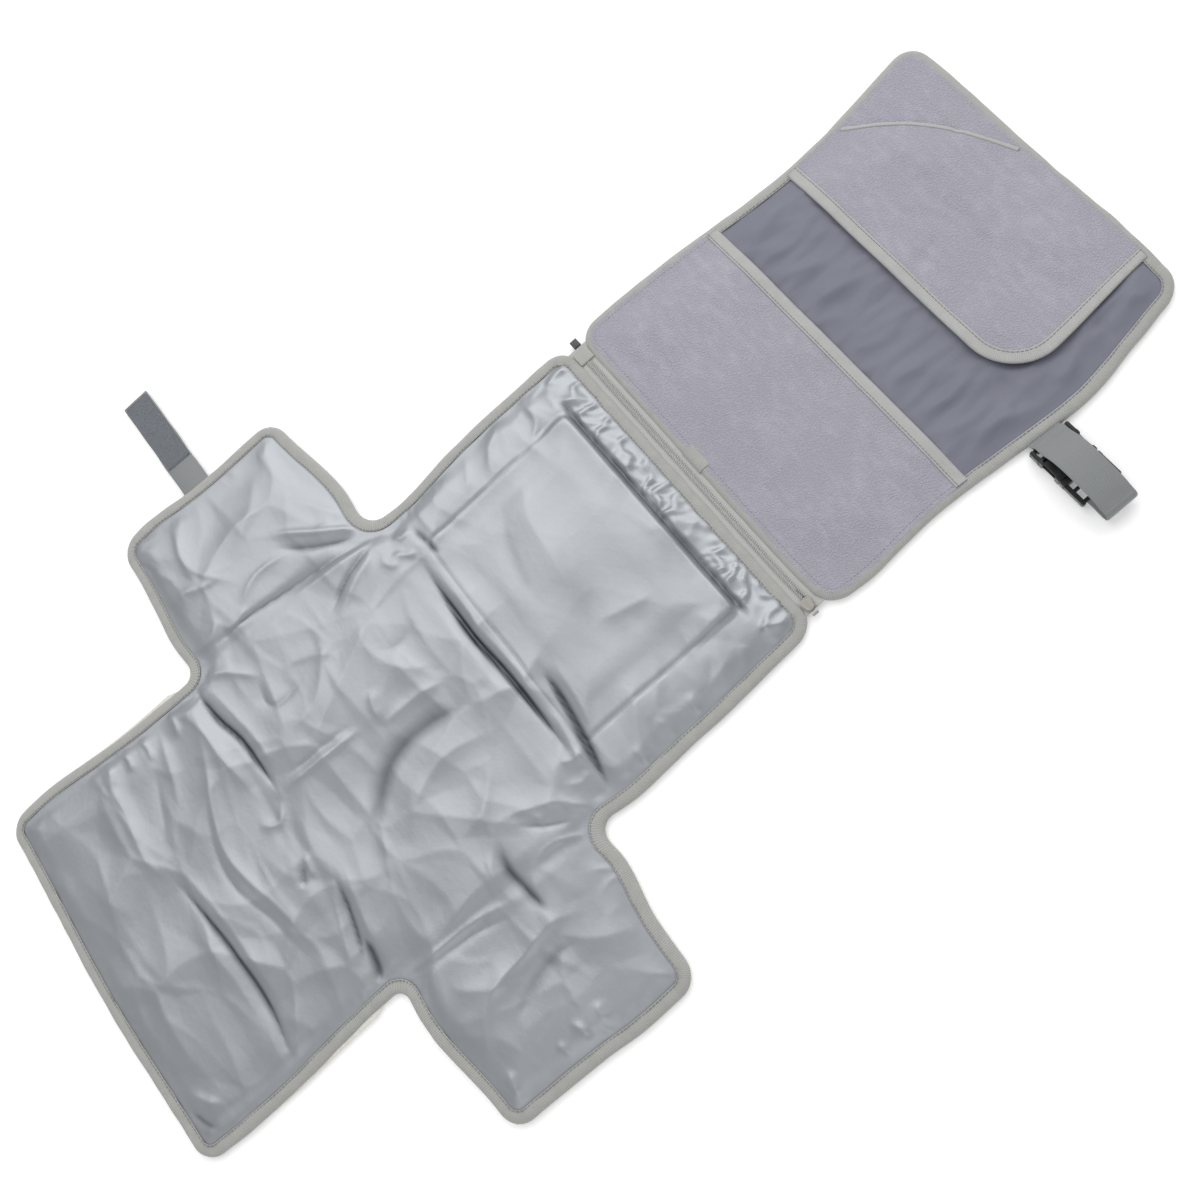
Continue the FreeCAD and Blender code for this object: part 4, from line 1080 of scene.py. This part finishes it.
def lining_height(points):
    within, _ = depth(points, CLUTCH_OUTLINE)
    bare = smooth(points[:, 1], MOUTH - 14 * MM, MOUTH - 2 * MM)
    under_flap = smooth(points[:, 1], FLAP_MOUTH + 2 * MM, FLAP_MOUTH + 16 * MM)
    under_flap *= 1 - smooth(points[:, 0], FLAP_SIDE - 16 * MM, FLAP_SIDE - 2 * MM)
    bare *= 1 - under_flap
    free = smooth(within, 9 * MM, 26 * MM) * bare
    gathers = waves(points, 55 * MM, 61) * 0.6 + facets(points * (1.5, 0.55), 26 * MM, 63) * 1.9
    height = free * (0.8 + gathers) * MM
    for marks, rise, width in LINING_CREASES:
        height += crease(points, marks, rise * LINING_RISE, width) * smooth(within, 8 * MM, 14 * MM) * bare
    return COVER_LEVEL + np.maximum(height, 0)


def clutch_cloths():
    points, quads = lay(inset(CLUTCH_OUTLINE, TUCK), 3 * MM)
    top = np.column_stack([points, lining_height(points)])
    under = np.column_stack([points, CLOTH + 0.3 * MM + waves(points, 60 * MM, 65) * 0.2 * MM])
    cloth_pieces(top, quads, CLUTCH_ZONES, ("_lining_cloth", "_lining"), LINING)
    cloth_pieces(under, quads, CLUTCH_ZONES, ("_shell_cloth", "_shell"), SHELL)


def binding_lap():
    """The lap of the clutch's binding, where its two ends meet."""
    line = np.array([(-16 * MM, CLUTCH_NEAR - 0.5 * MM), (4 * MM, CLUTCH_NEAR - 0.5 * MM)])
    profile = [(10.2, 5.9), (10.4, 6.5), (7.0, 6.75), (3.0, 6.6), (0.4, 5.0), (0.0, 3.0), (1.0, 3.2), (3.4, 6.0)]
    open_tape("binding_overlap", line, profile, "clutch_base", None, BINDING, None)


def clutch_edges():
    bound_edge(CLUTCH_OUTLINE, CLUTCH_ZONES, 8.3 * MM, 71)
    binding_lap()


POCKET_RISE = high("lower_pocket").z - PANEL - 2.6 * MM
INNER = HALF - BAND


def terry_height(points, sewn, base, span, creases, seeds):
    """Height of a pocket's terry, which swells away from where it is sewn."""
    height = base + POCKET_RISE * smooth(sewn, -2 * MM, span)
    for marks, rise, width in creases:
        height += crease(points, marks, rise * TERRY_RISE, width)
    (size, rise, seed), (fold_size, fold_rise, fold_seed) = seeds
    pile = waves(points, size, seed) * rise + crumple(points, fold_size, fold_seed) * fold_rise
    return height + smooth(sewn, 0, 20 * MM) * pile * MM


def lower_pocket_height(points):
    x, y = points[:, 0], points[:, 1]
    sewn = np.minimum(np.minimum(x + INNER, INNER - x), y - CLUTCH_NEAR - BAND)
    seeds = ((70 * MM, 0.8, 81), (60 * MM, 0.7, 82))
    return terry_height(points, sewn, PANEL + 0.9 * MM, 46 * MM, (), seeds)


def flap_pocket_height(points):
    x, y = points[:, 0], points[:, 1]
    sewn = np.minimum(x + INNER, CLUTCH_END - BAND - y)
    seeds = ((75 * MM, 0.9, 83), (60 * MM, 0.8, 84))
    return terry_height(points, sewn, PANEL + 1.6 * MM, 50 * MM, TERRY_CREASES, seeds)


TERRY_RISE = 1.5                               # the same for the terry
TERRY_CREASES = [
    ([(-74, 444), (-68, 434), (-60, 427)], -1.2, 3), ([(-46, 384), (-5, 388), (37, 383)], -1.4, 5),
    ([(-14, 368), (-8, 352), (1, 338)], -1.3, 4), ([(-100, 384), (-70, 396), (-40, 392)], 1.2, 9),
    ([(20, 420), (50, 410), (84, 414)], 1.1, 12), ([(40, 350), (66, 344), (88, 352)], 1.0, 9),
]


def lower_pocket_outline():
    near, side = CLUTCH_NEAR + 5 * MM, HALF - 5 * MM
    radius = CLUTCH_ROUND - 5 * MM
    return rounded([(side, near, radius), (side, MOUTH, 0), (-side, MOUTH, 0), (-side, near, radius)])


ENTRY_DOWN = (-INNER, CLUTCH_END - 85 * MM)
ENTRY_FAR = (-HALF + 126 * MM, CLUTCH_END - BAND)
ENTRY_BULGE = 8 * MM


def entry_hem():
    """The side entry's curved hem, from the far edge to the left edge."""
    start, end = np.array(ENTRY_FAR), np.array(ENTRY_DOWN)
    run = end - start
    out = np.array((run[1], -run[0])) / np.linalg.norm(run)
    return np.array([start + run * t + out * ENTRY_BULGE * 4 * t * (1 - t) for t in np.linspace(0, 1, 30)])


def flap_pocket_outline():
    left, far = -HALF + 5 * MM, CLUTCH_END - 5 * MM
    hem = entry_hem()
    corner = rounded([(FLAP_SIDE, FLAP_MOUTH, POCKET_CURVE), (FLAP_SIDE, far, 0), (left, far, 0),
                      (left, FLAP_MOUTH, 0)])
    corner = corner[~((corner[:, 0] < -HALF + 6 * MM) & (corner[:, 1] > far - MM))]
    start = np.array([(hem[0][0] + 4 * MM, far)])
    end = np.array([(left, hem[-1][1] - 3 * MM)])
    return np.vstack([corner[:-1], start, hem, end, corner[-1:]])


def open_tape(name, line, profile, body, node, material, ground, step=2.2 * MM):
    """A tape along an open line, riding on one body."""
    line, at = evenly(line, step, closed=False)
    points = tape_points(line, profile, closed=False, ground=ground).reshape(-1, 3)
    quads = tape_faces(len(line), len(profile), closed=False)[:, ::-1]
    run = tape_run(at, profile, at[1] - at[0], closed=False)[:, ::-1]
    piece = mesh_object(name, points, quads, material, vertex_normals(points, quads)[quads], run)
    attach(piece, body)
    if node:
        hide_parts(node)


EDGING_PROFILE = [  # a folded tape over a pocket's free edge: inset and height above the pocket's cloth
    (9.2, 0.15), (9.0, 0.65), (8.0, 0.7), (7.4, 0.5), (6.8, 0.75), (2.5, 0.85), (0.5, 0.6), (-0.5, -0.4),
    (0.4, -1.4), (2.5, -1.6), (9.0, -1.6), (9.0, -1.1), (1.6, -1.0), (0.9, -0.4), (1.8, 0.1)]


def terry_pocket(name, outline, height, body, node):
    """A pocket's terry, lying on the lining of the clutch's half that it is sewn to."""
    points, quads = lay(outline, 3 * MM)
    points = np.column_stack([points, height(points)])
    piece = cloth_body(name, points, quads, vertex_normals(points, quads), TERRY_THICK, TERRY)
    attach(piece, body)
    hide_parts(node)
    declare_sheet(points, quads, [body + "_lining_cloth"])


def lower_pocket():
    terry_pocket("lower_pocket_terry", lower_pocket_outline(), lower_pocket_height, "clutch_base", "lower_pocket")
    mouth = np.array([(HALF - 6 * MM, MOUTH), (-HALF + 6 * MM, MOUTH)])
    open_tape("lower_pocket_edging_tape", mouth, EDGING_PROFILE, "clutch_base", "lower_pocket_edging", EDGING,
              lower_pocket_height)
    zones = [("clutch_base", everywhere, "clutch_base")]
    stitch_pieces("_mouth_stitches", mouth - (0, EDGING_SEAM), lambda p: lower_pocket_height(p) + 0.75 * MM, zones,
                  closed=False)


def flap_pocket():
    terry_pocket("flap_pocket_terry", flap_pocket_outline(), flap_pocket_height, "clutch_flap", "flap_pocket")
    side = HALF - 6 * MM
    free = rounded([(FLAP_SIDE, FLAP_MOUTH, POCKET_CURVE), (FLAP_SIDE, CLUTCH_END - 6 * MM, 0),
                    (-side, FLAP_MOUTH, 0)])
    free = np.roll(free, -np.argmin(np.abs(free[:, 0] + side)), 0)
    open_tape("flap_pocket_edging_tape", free, EDGING_PROFILE, "clutch_flap", "flap_pocket_edging", EDGING,
              flap_pocket_height)
    line, _ = evenly(free, 3 * MM, closed=False)
    seam = line + sides(line, False)[1] * EDGING_SEAM
    zones = [("clutch_flap", everywhere, "clutch_flap")]
    stitch_pieces("_pocket_stitches", seam, lambda p: flap_pocket_height(p) + 0.75 * MM, zones, closed=False)
    # the side entry's rolled hem takes the paler edging tape, whose lighter colour is a painted highlight along the
    # hem's edge
    profile = [(-0.2, -0.9), (-0.4, 0.2), (0.4, 0.7), (2.2, 0.55), (2.6, 0.1), (2.2, -0.9)]
    open_tape("flap_pocket_hem", entry_hem()[::-1], profile, "clutch_flap", None, EDGING, flap_pocket_height)


def under_layer():
    """The flap pocket's back layer, which shows in the side entry."""
    left, far, right = -HALF + 6 * MM, CLUTCH_END - 6 * MM, ENTRY_FAR[0] + 18 * MM
    down, turn = ENTRY_DOWN[1] - 16 * MM, 6 * MM
    back = rounded([(left, down, 0), (-INNER + 40 * MM, down, turn), (right, CLUTCH_END - BAND - 24 * MM, turn),
                    (right, far, 0), (left, far, 12 * MM)])
    terry_pocket("flap_pocket_under_layer", back, lambda p: lining_height(p) + 1.3 * MM, "clutch_flap",
                 "flap_pocket_back_layer")


# ---------------------------------------------------------------- zipper

def brick(shape, first, last):
    """Add a box between two corners."""
    size, middle = Vector(last) - Vector(first), (Vector(first) + Vector(last)) / 2
    made = bmesh.ops.create_cube(shape, size=1)["verts"]
    bmesh.ops.transform(shape, matrix=Matrix.Translation(middle) @ Matrix.Diagonal((*size, 1)), verts=made)
    return min(size)


def raised(shape, outline, base, thick):
    """Add a plate with the outline's (x, y) corners, raised from a level."""
    face = shape.faces.new([shape.verts.new((x, y, base)) for x, y in outline])
    grown = bmesh.ops.extrude_face_region(shape, geom=[face])["geom"]
    upper = [item for item in grown if isinstance(item, bmesh.types.BMVert)]
    bmesh.ops.translate(shape, verts=upper, vec=(0, 0, thick))


def block(name, first, last, material, node, slot, soft):
    """A moulded or pressed part between two corners on the clutch, its edges rounded."""
    shape = bmesh.new()
    least = brick(shape, first, last)
    bmesh.ops.bevel(shape, geom=shape.edges[:], offset=min(soft, least * 0.45), segments=3, profile=0.6,
                    affect="EDGES")
    finished(name, shape, material, "clutch_base", node)


def finished(name, shape, material, body, node):
    """Close a bmesh into an object that rides on a body."""
    bmesh.ops.recalc_face_normals(shape, faces=shape.faces[:])
    mesh = bpy.data.meshes.new(name)
    shape.to_mesh(mesh)
    shape.free()
    mesh.materials.append(material)
    mesh.shade_smooth()
    mesh.set_sharp_from_angle(angle=math.radians(38))
    piece = bpy.data.objects.new(name, mesh)
    bpy.context.scene.collection.objects.link(piece)
    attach(piece, body)
    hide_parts(node)


def wire_tube(path, radius, around=6):
    """Points and faces of a thin round wire along a path."""
    ahead = np.gradient(path, axis=0)
    ahead /= np.linalg.norm(ahead, axis=1)[:, None]
    aside = np.cross(ahead, (0.0, 0.0, 1.0) if abs(ahead[0, 2]) < 0.9 else (0.0, 1.0, 0.0))
    aside /= np.maximum(np.linalg.norm(aside, axis=1), 1e-9)[:, None]
    above = np.cross(aside, ahead)
    angles = np.linspace(0, 2 * math.pi, around, endpoint=False)
    ring = aside[:, None] * np.cos(angles)[:, None] + above[:, None] * np.sin(angles)[:, None]
    points = (path[:, None] + ring * radius).reshape(-1, 3)
    return points, tape_faces(len(path), around, closed=False)


def coil(side, word):
    """One half of the zipper's nylon coil: turns of wire that lock between the other half's."""
    node = "zip_coil_%s_side" % word
    lowest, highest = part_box(node)
    wire, pitch = 0.34 * MM, 1.7 * MM
    turns = (highest.x - lowest.x) / pitch
    angle = np.linspace(0, 2 * math.pi * turns, int(turns * 14))
    reach = (highest.y - lowest.y) / 2 - wire + 0.25 * MM
    tall = (highest.z - lowest.z) / 2 - wire
    middle_y = (highest.y + lowest.y) / 2 - side * 0.25 * MM
    path = np.stack([lowest.x + angle / (2 * math.pi) * pitch + (0.25 if side > 0 else -0.25) * pitch,
                     middle_y + reach * np.cos(angle), (highest.z + lowest.z) / 2 + tall * np.sin(angle)], 1)
    points, quads = wire_tube(path, wire)
    piece = mesh_object("zip_coil_turns_" + word, points, quads[:, ::-1], COIL)
    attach(piece, "clutch_base")
    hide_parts(node)


def zipper():
    """Both tapes and coils, and what closes the zipper's two ends."""
    side = high("zip_tape_clutch_side").x
    level = high("zip_tape_clutch_side").z
    for sign, word, edge in ((1, "clutch", CLUTCH_NEAR), (-1, "mat", MAT_NEAR)):
        coil(sign, word)
        line = np.array([(-side, ZIP + sign * 0.5 * MM), (side, ZIP + sign * 0.5 * MM)])[::sign]
        width = abs(edge - ZIP) / MM + 2.5
        profile = [(0, 0), (0, -0.55), (width, -0.55), (width, 0.05), (3.2, 0.0), (2.7, 0.18), (2.3, 0.0)]
        open_tape("zip_tape_cloth_" + word, line, profile, "clutch_base", "zip_tape_%s_side" % word, ZIP_TAPE,
                  lambda p: np.full(len(p), level) + waves(p, 20 * MM, 91) * 0.08 * MM)
    wrap = Vector((0, 1 * MM, 0))
    lift = Vector((0, 0, 0.5 * MM))
    block("zip_end_cover", low("zip_end_fold") - wrap, high("zip_end_fold") + wrap + lift, BINDING, "zip_end_fold",
          "zip_trim", 0.7 * MM)
    block("zip_box", *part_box("zip_pin_box"), PLASTIC, "zip_pin_box", "zip_trim", 0.5 * MM)
    block("zip_stop", *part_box("zip_end_stop"), METAL, "zip_end_stop", "zip_metal", 0.3 * MM)


def slider():
    """The slider's two plates, the post between them and its two side walls."""
    lowest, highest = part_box("zip_slider")
    middle, length = (lowest.x + highest.x) / 2, highest.x - lowest.x
    half, thick = (highest.y - lowest.y) / 2, 0.9 * MM
    under = high("zip_tape_clutch_side").z - 1.7 * MM
    upper = [(-length / 2, half * 0.72), (-length * 0.3, half), (length * 0.05, half * 0.92),
             (length * 0.42, half * 0.62), (length / 2, half * 0.35)]
    plate = [(middle + x, ZIP + y) for x, y in upper + [(x, -y) for x, y in upper[::-1]]]
    shape = bmesh.new()
    for top in (highest.z + 0.35 * MM, under):
        raised(shape, plate, top - thick, thick)
    bmesh.ops.bevel(shape, geom=shape.edges[:], offset=0.28 * MM, segments=2, affect="EDGES")
    brick(shape, (middle - 4.0 * MM, ZIP - 0.7 * MM, under - thick), (middle - 1.0 * MM, ZIP + 0.7 * MM, highest.z))
    for wall in (ZIP - 3.2 * MM, ZIP + 3.2 * MM):
        brick(shape, (middle + 0.8 * MM, wall - 0.6 * MM, lowest.z),
              (middle + 4.0 * MM, wall + 0.6 * MM, under - thick / 2))
    finished("slider_body", shape, METAL, "zip_slider", "zip_slider")


def pull_tab():
    """The slider's pull: a flat drop with a hole, and the bar that it swings on."""
    lowest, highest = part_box("zip_pull")
    half, length = 2.6 * MM, highest.x - lowest.x
    outline = [(0, half * 0.75), (length * 0.1, half), (length * 0.62, half * 0.8), (length * 0.85, half * 0.6),
               (length * 0.97, half * 0.5), (length, half * 0.3)]
    outline = outline + [(x, -y) for x, y in outline[::-1]]
    count = len(outline)
    hole = [(length * (0.28 + 0.14 * math.cos(t)), half * 0.5 * math.sin(t))
            for t in np.linspace(math.pi, -math.pi, count, endpoint=False)]
    shape = bmesh.new()
    (low_out, low_in), (high_out, high_in) = [
        [[shape.verts.new((lowest.x + x, ZIP + y, level)) for x, y in ring] for ring in (outline, hole)]
        for level in (lowest.z, highest.z)]
    for first, second in ((low_out, high_out), (low_in, high_in), (low_out, low_in), (high_out, high_in)):
        for k in range(count):
            after = (k + 1) % count
            shape.faces.new((first[k], first[after], second[after], second[k]))
    rims = [edge for edge in shape.edges if abs(edge.verts[0].co.z - edge.verts[1].co.z) < 1e-7]
    bmesh.ops.bevel(shape, geom=rims, offset=0.18 * MM, segments=2, affect="EDGES")
    bar = bmesh.ops.create_cone(shape, cap_ends=True, segments=14, radius1=0.38 * MM, radius2=0.38 * MM,
                                depth=7.2 * MM)
    middle = Matrix.Translation((AXIS["pull_swing"].x, ZIP, (lowest.z + highest.z) / 2))
    bmesh.ops.transform(shape, verts=bar["verts"], matrix=middle @ Matrix.Rotation(math.pi / 2, 4, "X"))
    finished("pull_tab", shape, METAL, "zip_pull", "zip_pull")


# ---------------------------------------------------------------- webbing

def webbing_strip(name, path, width, thick, across, body, node, seed):
    """Flat webbing along a path of (x, z) points: soft selvedges, and a slight twist as it hangs."""
    path, at = evenly(np.array(path), 1.6 * MM, closed=False)
    normal = sides(path, closed=False)[1]
    half = width / 2
    section = [(-half, 0.35), (-half + 0.5 * MM, 0.9), (-half + 1.5 * MM, 1.0), (-half * 0.4, 1.06),
               (half * 0.4, 1.06), (half - 1.5 * MM, 1.0), (half - 0.5 * MM, 0.9), (half, 0.35), (half, -0.35),
               (half - 0.5 * MM, -0.9), (0, -1.0), (-half + 0.5 * MM, -0.9), (-half, -0.35)]
    size = len(section)
    cross = np.array([y for y, _ in section])
    tall = np.array([t for _, t in section]) * thick / 2
    spot = path[:, None] + normal[:, None] * tall[:, None]
    ripple = waves(np.stack([at, at * 0], 1), 30 * MM, seed) * 0.25 * MM
    points = np.stack([spot[..., 0], across + cross[None] + ripple[:, None], spot[..., 1]], -1).reshape(-1, 3)
    quads = tape_faces(len(path), size, closed=False)
    run = np.zeros((len(quads), 4, 2))
    ring, place = np.divmod(np.arange(len(quads)), size)
    for k, (more, beside) in enumerate(((0, 0), (1, 0), (1, 1), (0, 1))):
        run[:, k, 0] = at[ring] + more * (at[1] - at[0])
        run[:, k, 1] = cross[(place + beside) % size] + half
    shape = bmesh.new()
    layer = shape.loops.layers.uv.new("run")
    verts = [shape.verts.new(p) for p in points]
    for face, uvs in zip(quads, run):
        made = shape.faces.new([verts[k] for k in face])
        for loop, uv in zip(made.loops, uvs):
            loop[layer].uv = uv
    for cap in (verts[:size][::-1], verts[-size:]):
        shape.faces.new(cap)
    finished(name, shape, WEBBING, body, node)


def hook_tab():
    """The tab's webbing, and the hook patch sewn on its end."""
    lowest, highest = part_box("hook_tab_webbing")
    middle = (lowest + highest) / 2
    xs = np.linspace(highest.x + 1.5 * MM, lowest.x, 40)
    lift = smooth(xs, highest.x - 60 * MM, highest.x) * 0.4 * MM
    lift += waves(np.stack([xs, xs], 1), 50 * MM, 101) * 0.25 * MM
    path = [(x, middle.z + rise) for x, rise in zip(xs, lift)]
    webbing_strip("hook_tab_strip", path, highest.y - lowest.y, highest.z - lowest.z, middle.y, "hook_tab",
                  "hook_tab_webbing", seed=103)
    first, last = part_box("hook_tab_patch")
    outline = rounded([(last.x, first.y, 1 * MM), (last.x, last.y, 1 * MM), (first.x, last.y, 2.5 * MM),
                       (first.x, first.y, 2.5 * MM)])
    points, quads = lay(outline, 0.9 * MM)
    within, _ = depth(points, outline)
    hooks = np.sin(points * 2 * math.pi / (1.8 * MM)).prod(1).clip(0, 1)
    level = first.z + (last.z - first.z) * smooth(within, -0.5 * MM, 1.2 * MM) + 0.2 * MM
    level += smooth(within, 1 * MM, 2 * MM) * hooks * 0.35 * MM
    points = np.column_stack([points, level])
    piece = cloth_body("hook_field", points, quads, np.tile((0, 0, 1.0), (len(points), 1)), 0.5 * MM, HOOKS)
    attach(piece, "hook_tab")
    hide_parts("hook_tab_patch")
    declare_sheet(points, quads, ["hook_tab_strip"])
    stitch_pieces("hook_stitches", inset(outline, 1.3 * MM), lambda p: np.full(len(p), last.z + 0.25 * MM),
                  [("", everywhere, "hook_tab")], pitch=2.6 * MM, thick=0.26 * MM)


def hanging_loop():
    """The loop's webbing: over the buckle, back through its bar, and the short piece that holds the socket."""
    first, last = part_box("strap_upper")
    back_low, back_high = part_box("strap_return")
    across, width = (first.y + last.y) / 2, last.y - first.y
    thick = 1.3 * MM
    bar = AXIS["strap_swing"].z - 0.6 * MM
    crown_x, crown = (first.x + last.x) / 2 + 4 * MM, last.z - thick / 2
    end_x, end_z = back_high.x - 4.6 * MM, bar + 8.6 * MM
    marks = [(first.x - 3 * MM, PANEL / 2 + 0.3 * MM), (first.x + 1.2 * MM, PANEL / 2 + 2.2 * MM),
             (first.x + 4 * MM, first.z + 6.2 * MM), (first.x + 10 * MM, first.z + 7.4 * MM),
             (first.x + 22 * MM, crown - 1.8 * MM), (crown_x, crown), (end_x - 12 * MM, crown - 2.2 * MM),
             (end_x, end_z)]
    upper = curve_through(np.array(marks) / MM, 2 * MM)
    webbing_strip("loop_upper", upper, width, thick, across, "strap", "strap_upper", seed=111)
    middle = bar + 4.0 * MM
    start = [(end_x - 0.5 * MM, end_z)]
    turn = [(end_x + 4.0 * MM * math.sin(t), middle + 4.6 * MM * math.cos(t)) for t in np.linspace(0, math.pi, 14)]
    inner = [(x, middle - 4.6 * MM + 0.6 * MM * smooth(x, end_x, back_low.x + 4 * MM))
             for x in np.linspace(end_x - 4 * MM, back_low.x + 4.4 * MM, 10)]
    webbing_strip("loop_return", start + turn + inner, width, thick, across, "buckle_tongue", "strap_return",
                  seed=113)
    root_low, root_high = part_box("strap_anchor")
    root = [(x, root_low.z - 0.2 * MM) for x in np.linspace(root_low.x - 4 * MM, root_high.x - 1.5 * MM, 8)]
    webbing_strip("loop_anchor", root, width - 2 * MM, thick, across, "strap", "strap_anchor", seed=115)


# ---------------------------------------------------------------- buckle

def moulding(name, parts, body, node):
    """Blocks fused into one moulded part with rounded edges."""
    whole = bmesh.new()
    for first, last in parts:
        shape = bmesh.new()
        least = brick(shape, first, last)
        bmesh.ops.bevel(shape, geom=shape.edges[:], offset=min(0.6 * MM, least * 0.35), segments=3, affect="EDGES")
        mesh = bpy.data.meshes.new("part")
        shape.to_mesh(mesh)
        shape.free()
        whole.from_mesh(mesh)
        bpy.data.meshes.remove(mesh)
    finished(name, whole, PLASTIC, body, node)


def buckle_socket():
    """The socket: bars for its webbing, a mouth with open sides, and a raised field on top."""
    lo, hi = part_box("buckle_socket")
    wall, room, window = 1.8 * MM, lo.x + 9.8 * MM, hi.x - 4.5 * MM
    inner = (lo.y + 1.2 * MM, hi.y - 1.2 * MM)
    parts = [((lo.x, lo.y, lo.z + 1 * MM), (room, lo.y + 3 * MM, hi.z - 1 * MM)),
             ((lo.x, hi.y - 3 * MM, lo.z + 1 * MM), (room, hi.y, hi.z - 1 * MM)),
             ((lo.x, lo.y, lo.z + 3 * MM), (lo.x + 3 * MM, hi.y, hi.z - 3 * MM)),
             ((room - 2 * MM, lo.y, lo.z), (room + 2.5 * MM, hi.y, hi.z)),
             ((room, inner[0], hi.z - wall), (hi.x, inner[1], hi.z)),
             ((room, inner[0], lo.z), (hi.x, inner[1], lo.z + wall)),
             ((window, lo.y, lo.z), (hi.x, lo.y + 2 * MM, hi.z)),
             ((window, hi.y - 2 * MM, lo.z), (hi.x, hi.y, hi.z)),
             ((room + 6 * MM, lo.y + 9 * MM, hi.z - 0.4 * MM), (hi.x - 3 * MM, hi.y - 9 * MM, hi.z + 0.5 * MM))]
    moulding("socket_moulding", parts, "strap", "buckle_socket")


def buckle_tongue():
    """The tongue's frame, its two bars for the webbing, and the middle guide."""
    lo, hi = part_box("buckle_plate")
    end, middle = high("buckle_socket").x, (lo.z + hi.z) / 2
    parts = [((end + 0.4 * MM, lo.y, lo.z), (end + 5 * MM, hi.y, hi.z)),
             ((end + 3 * MM, lo.y, lo.z + 0.6 * MM), (hi.x, lo.y + 3.2 * MM, hi.z - 0.6 * MM)),
             ((end + 3 * MM, hi.y - 3.2 * MM, lo.z + 0.6 * MM), (hi.x, hi.y, hi.z - 0.6 * MM)),
             ((hi.x - 3.4 * MM, lo.y, middle - 1.3 * MM), (hi.x - 0.6 * MM, hi.y, middle + 1.3 * MM)),
             ((end + 9.5 * MM, lo.y + 2 * MM, middle + 0.4 * MM), (end + 12 * MM, hi.y - 2 * MM, hi.z - 0.4 * MM)),
             ((lo.x, lo.y + 13.5 * MM, middle - 1.6 * MM), (end + 2 * MM, hi.y - 13.5 * MM, middle + 1.6 * MM))]
    moulding("tongue_moulding", parts, "buckle_tongue", "buckle_plate")


def buckle_prongs():
    for word, sign in (("near", -1), ("far", 1)):
        node = "buckle_prong_" + word
        lo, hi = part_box(node)
        outer, inner = (lo.y, hi.y) if sign < 0 else (hi.y, lo.y)
        outline = [(hi.x, inner), (hi.x, outer), (hi.x - 7 * MM, outer), (lo.x + 4 * MM, outer),
                   (lo.x, outer - sign * 0.9 * MM), (lo.x + 0.6 * MM, inner), (hi.x - 6 * MM, inner + sign * 0.5 * MM)]
        shape = bmesh.new()
        raised(shape, outline, lo.z, hi.z - lo.z)
        bmesh.ops.bevel(shape, geom=shape.edges[:], offset=0.35 * MM, segments=2, affect="EDGES")
        finished("prong_moulding_" + word, shape, PLASTIC, node, node)


# ---------------------------------------------------------------- studio

def floor():
    """A plain pale floor that the pad lies on."""
    pale = Finish("studio_floor", specular_ior_level=0.1, emission_color=(1, 1, 1, 1), emission_strength=0.22)
    dust = pale.noise(0.3)
    mesh = bpy.data.meshes.new("floor")
    reach = 4.0
    corners = [(-reach, -reach, 0), (reach, -reach, 0), (reach, reach, 0), (-reach, reach, 0)]
    mesh.from_pydata(corners, [], [(0, 1, 2, 3)])
    mesh.materials.append(pale.done(pale.mix((0.93, 0.93, 0.93, 1), (0.95, 0.95, 0.95, 1), dust), dust * 0.1 + 0.85))
    ground = bpy.data.objects.new("floor", mesh)
    ground.location.z = -0.4 * MM
    bpy.context.scene.collection.objects.link(ground)


def softbox(name, place, size, power):
    """A rectangular lamp that faces the middle of the pad."""
    lamp = bpy.data.lights.new(name, "AREA")
    lamp.shape, lamp.size, lamp.size_y = "RECTANGLE", size[0], size[1]
    lamp.energy = power
    holder = bpy.data.objects.new(name, lamp)
    holder.location = place
    holder.rotation_euler = (-Vector(place)).to_track_quat("-Z", "Y").to_euler()
    bpy.context.scene.collection.objects.link(holder)


def studio():
    scene = bpy.context.scene
    world = bpy.data.worlds.new("studio")
    world.use_nodes = True
    world.node_tree.nodes["Background"].inputs["Color"].default_value = (1, 1, 1, 1)
    world.node_tree.nodes["Background"].inputs["Strength"].default_value = 0.5
    scene.world = world
    scene.view_settings.view_transform = "Standard"
    softbox("key", (-1.3, 1.5, 1.7), (2.6, 2.0), 31)
    softbox("fill", (1.7, -0.8, 1.6), (1.6, 1.6), 7)
    softbox("top", (-1.45, -0.35, 2.3), (1.9, 2.3), 21)


def camera():
    """Above the pad and a little to its right, turned so that the pad runs corner to corner."""
    place, target = Vector((0.333, 0.085, 0.885)), Vector((0.025, 0.016, 0))
    data = bpy.data.cameras.new("camera")
    data.sensor_width, data.lens = 36, 39
    eye = bpy.data.objects.new("camera", data)
    ahead = (target - place).normalized()
    up = Vector((-0.726, 0.657, 0.201))
    right = ahead.cross(up).normalized()
    up = right.cross(ahead)
    eye.matrix_world = Matrix.Translation(place) @ Matrix((right, up, -ahead)).transposed().to_4x4()
    bpy.context.scene.collection.objects.link(eye)
    bpy.context.scene.camera = eye


mat_cover()
mat_back()
foams()
mat_edges()
clutch_cloths()
clutch_edges()
lower_pocket()
flap_pocket()
under_layer()
zipper()
slider()
pull_tab()
hook_tab()
hanging_loop()
buckle_socket()
buckle_tongue()
buckle_prongs()
for piece in SOFT_PIECES:
    settle(piece)
floor()
studio()
camera()
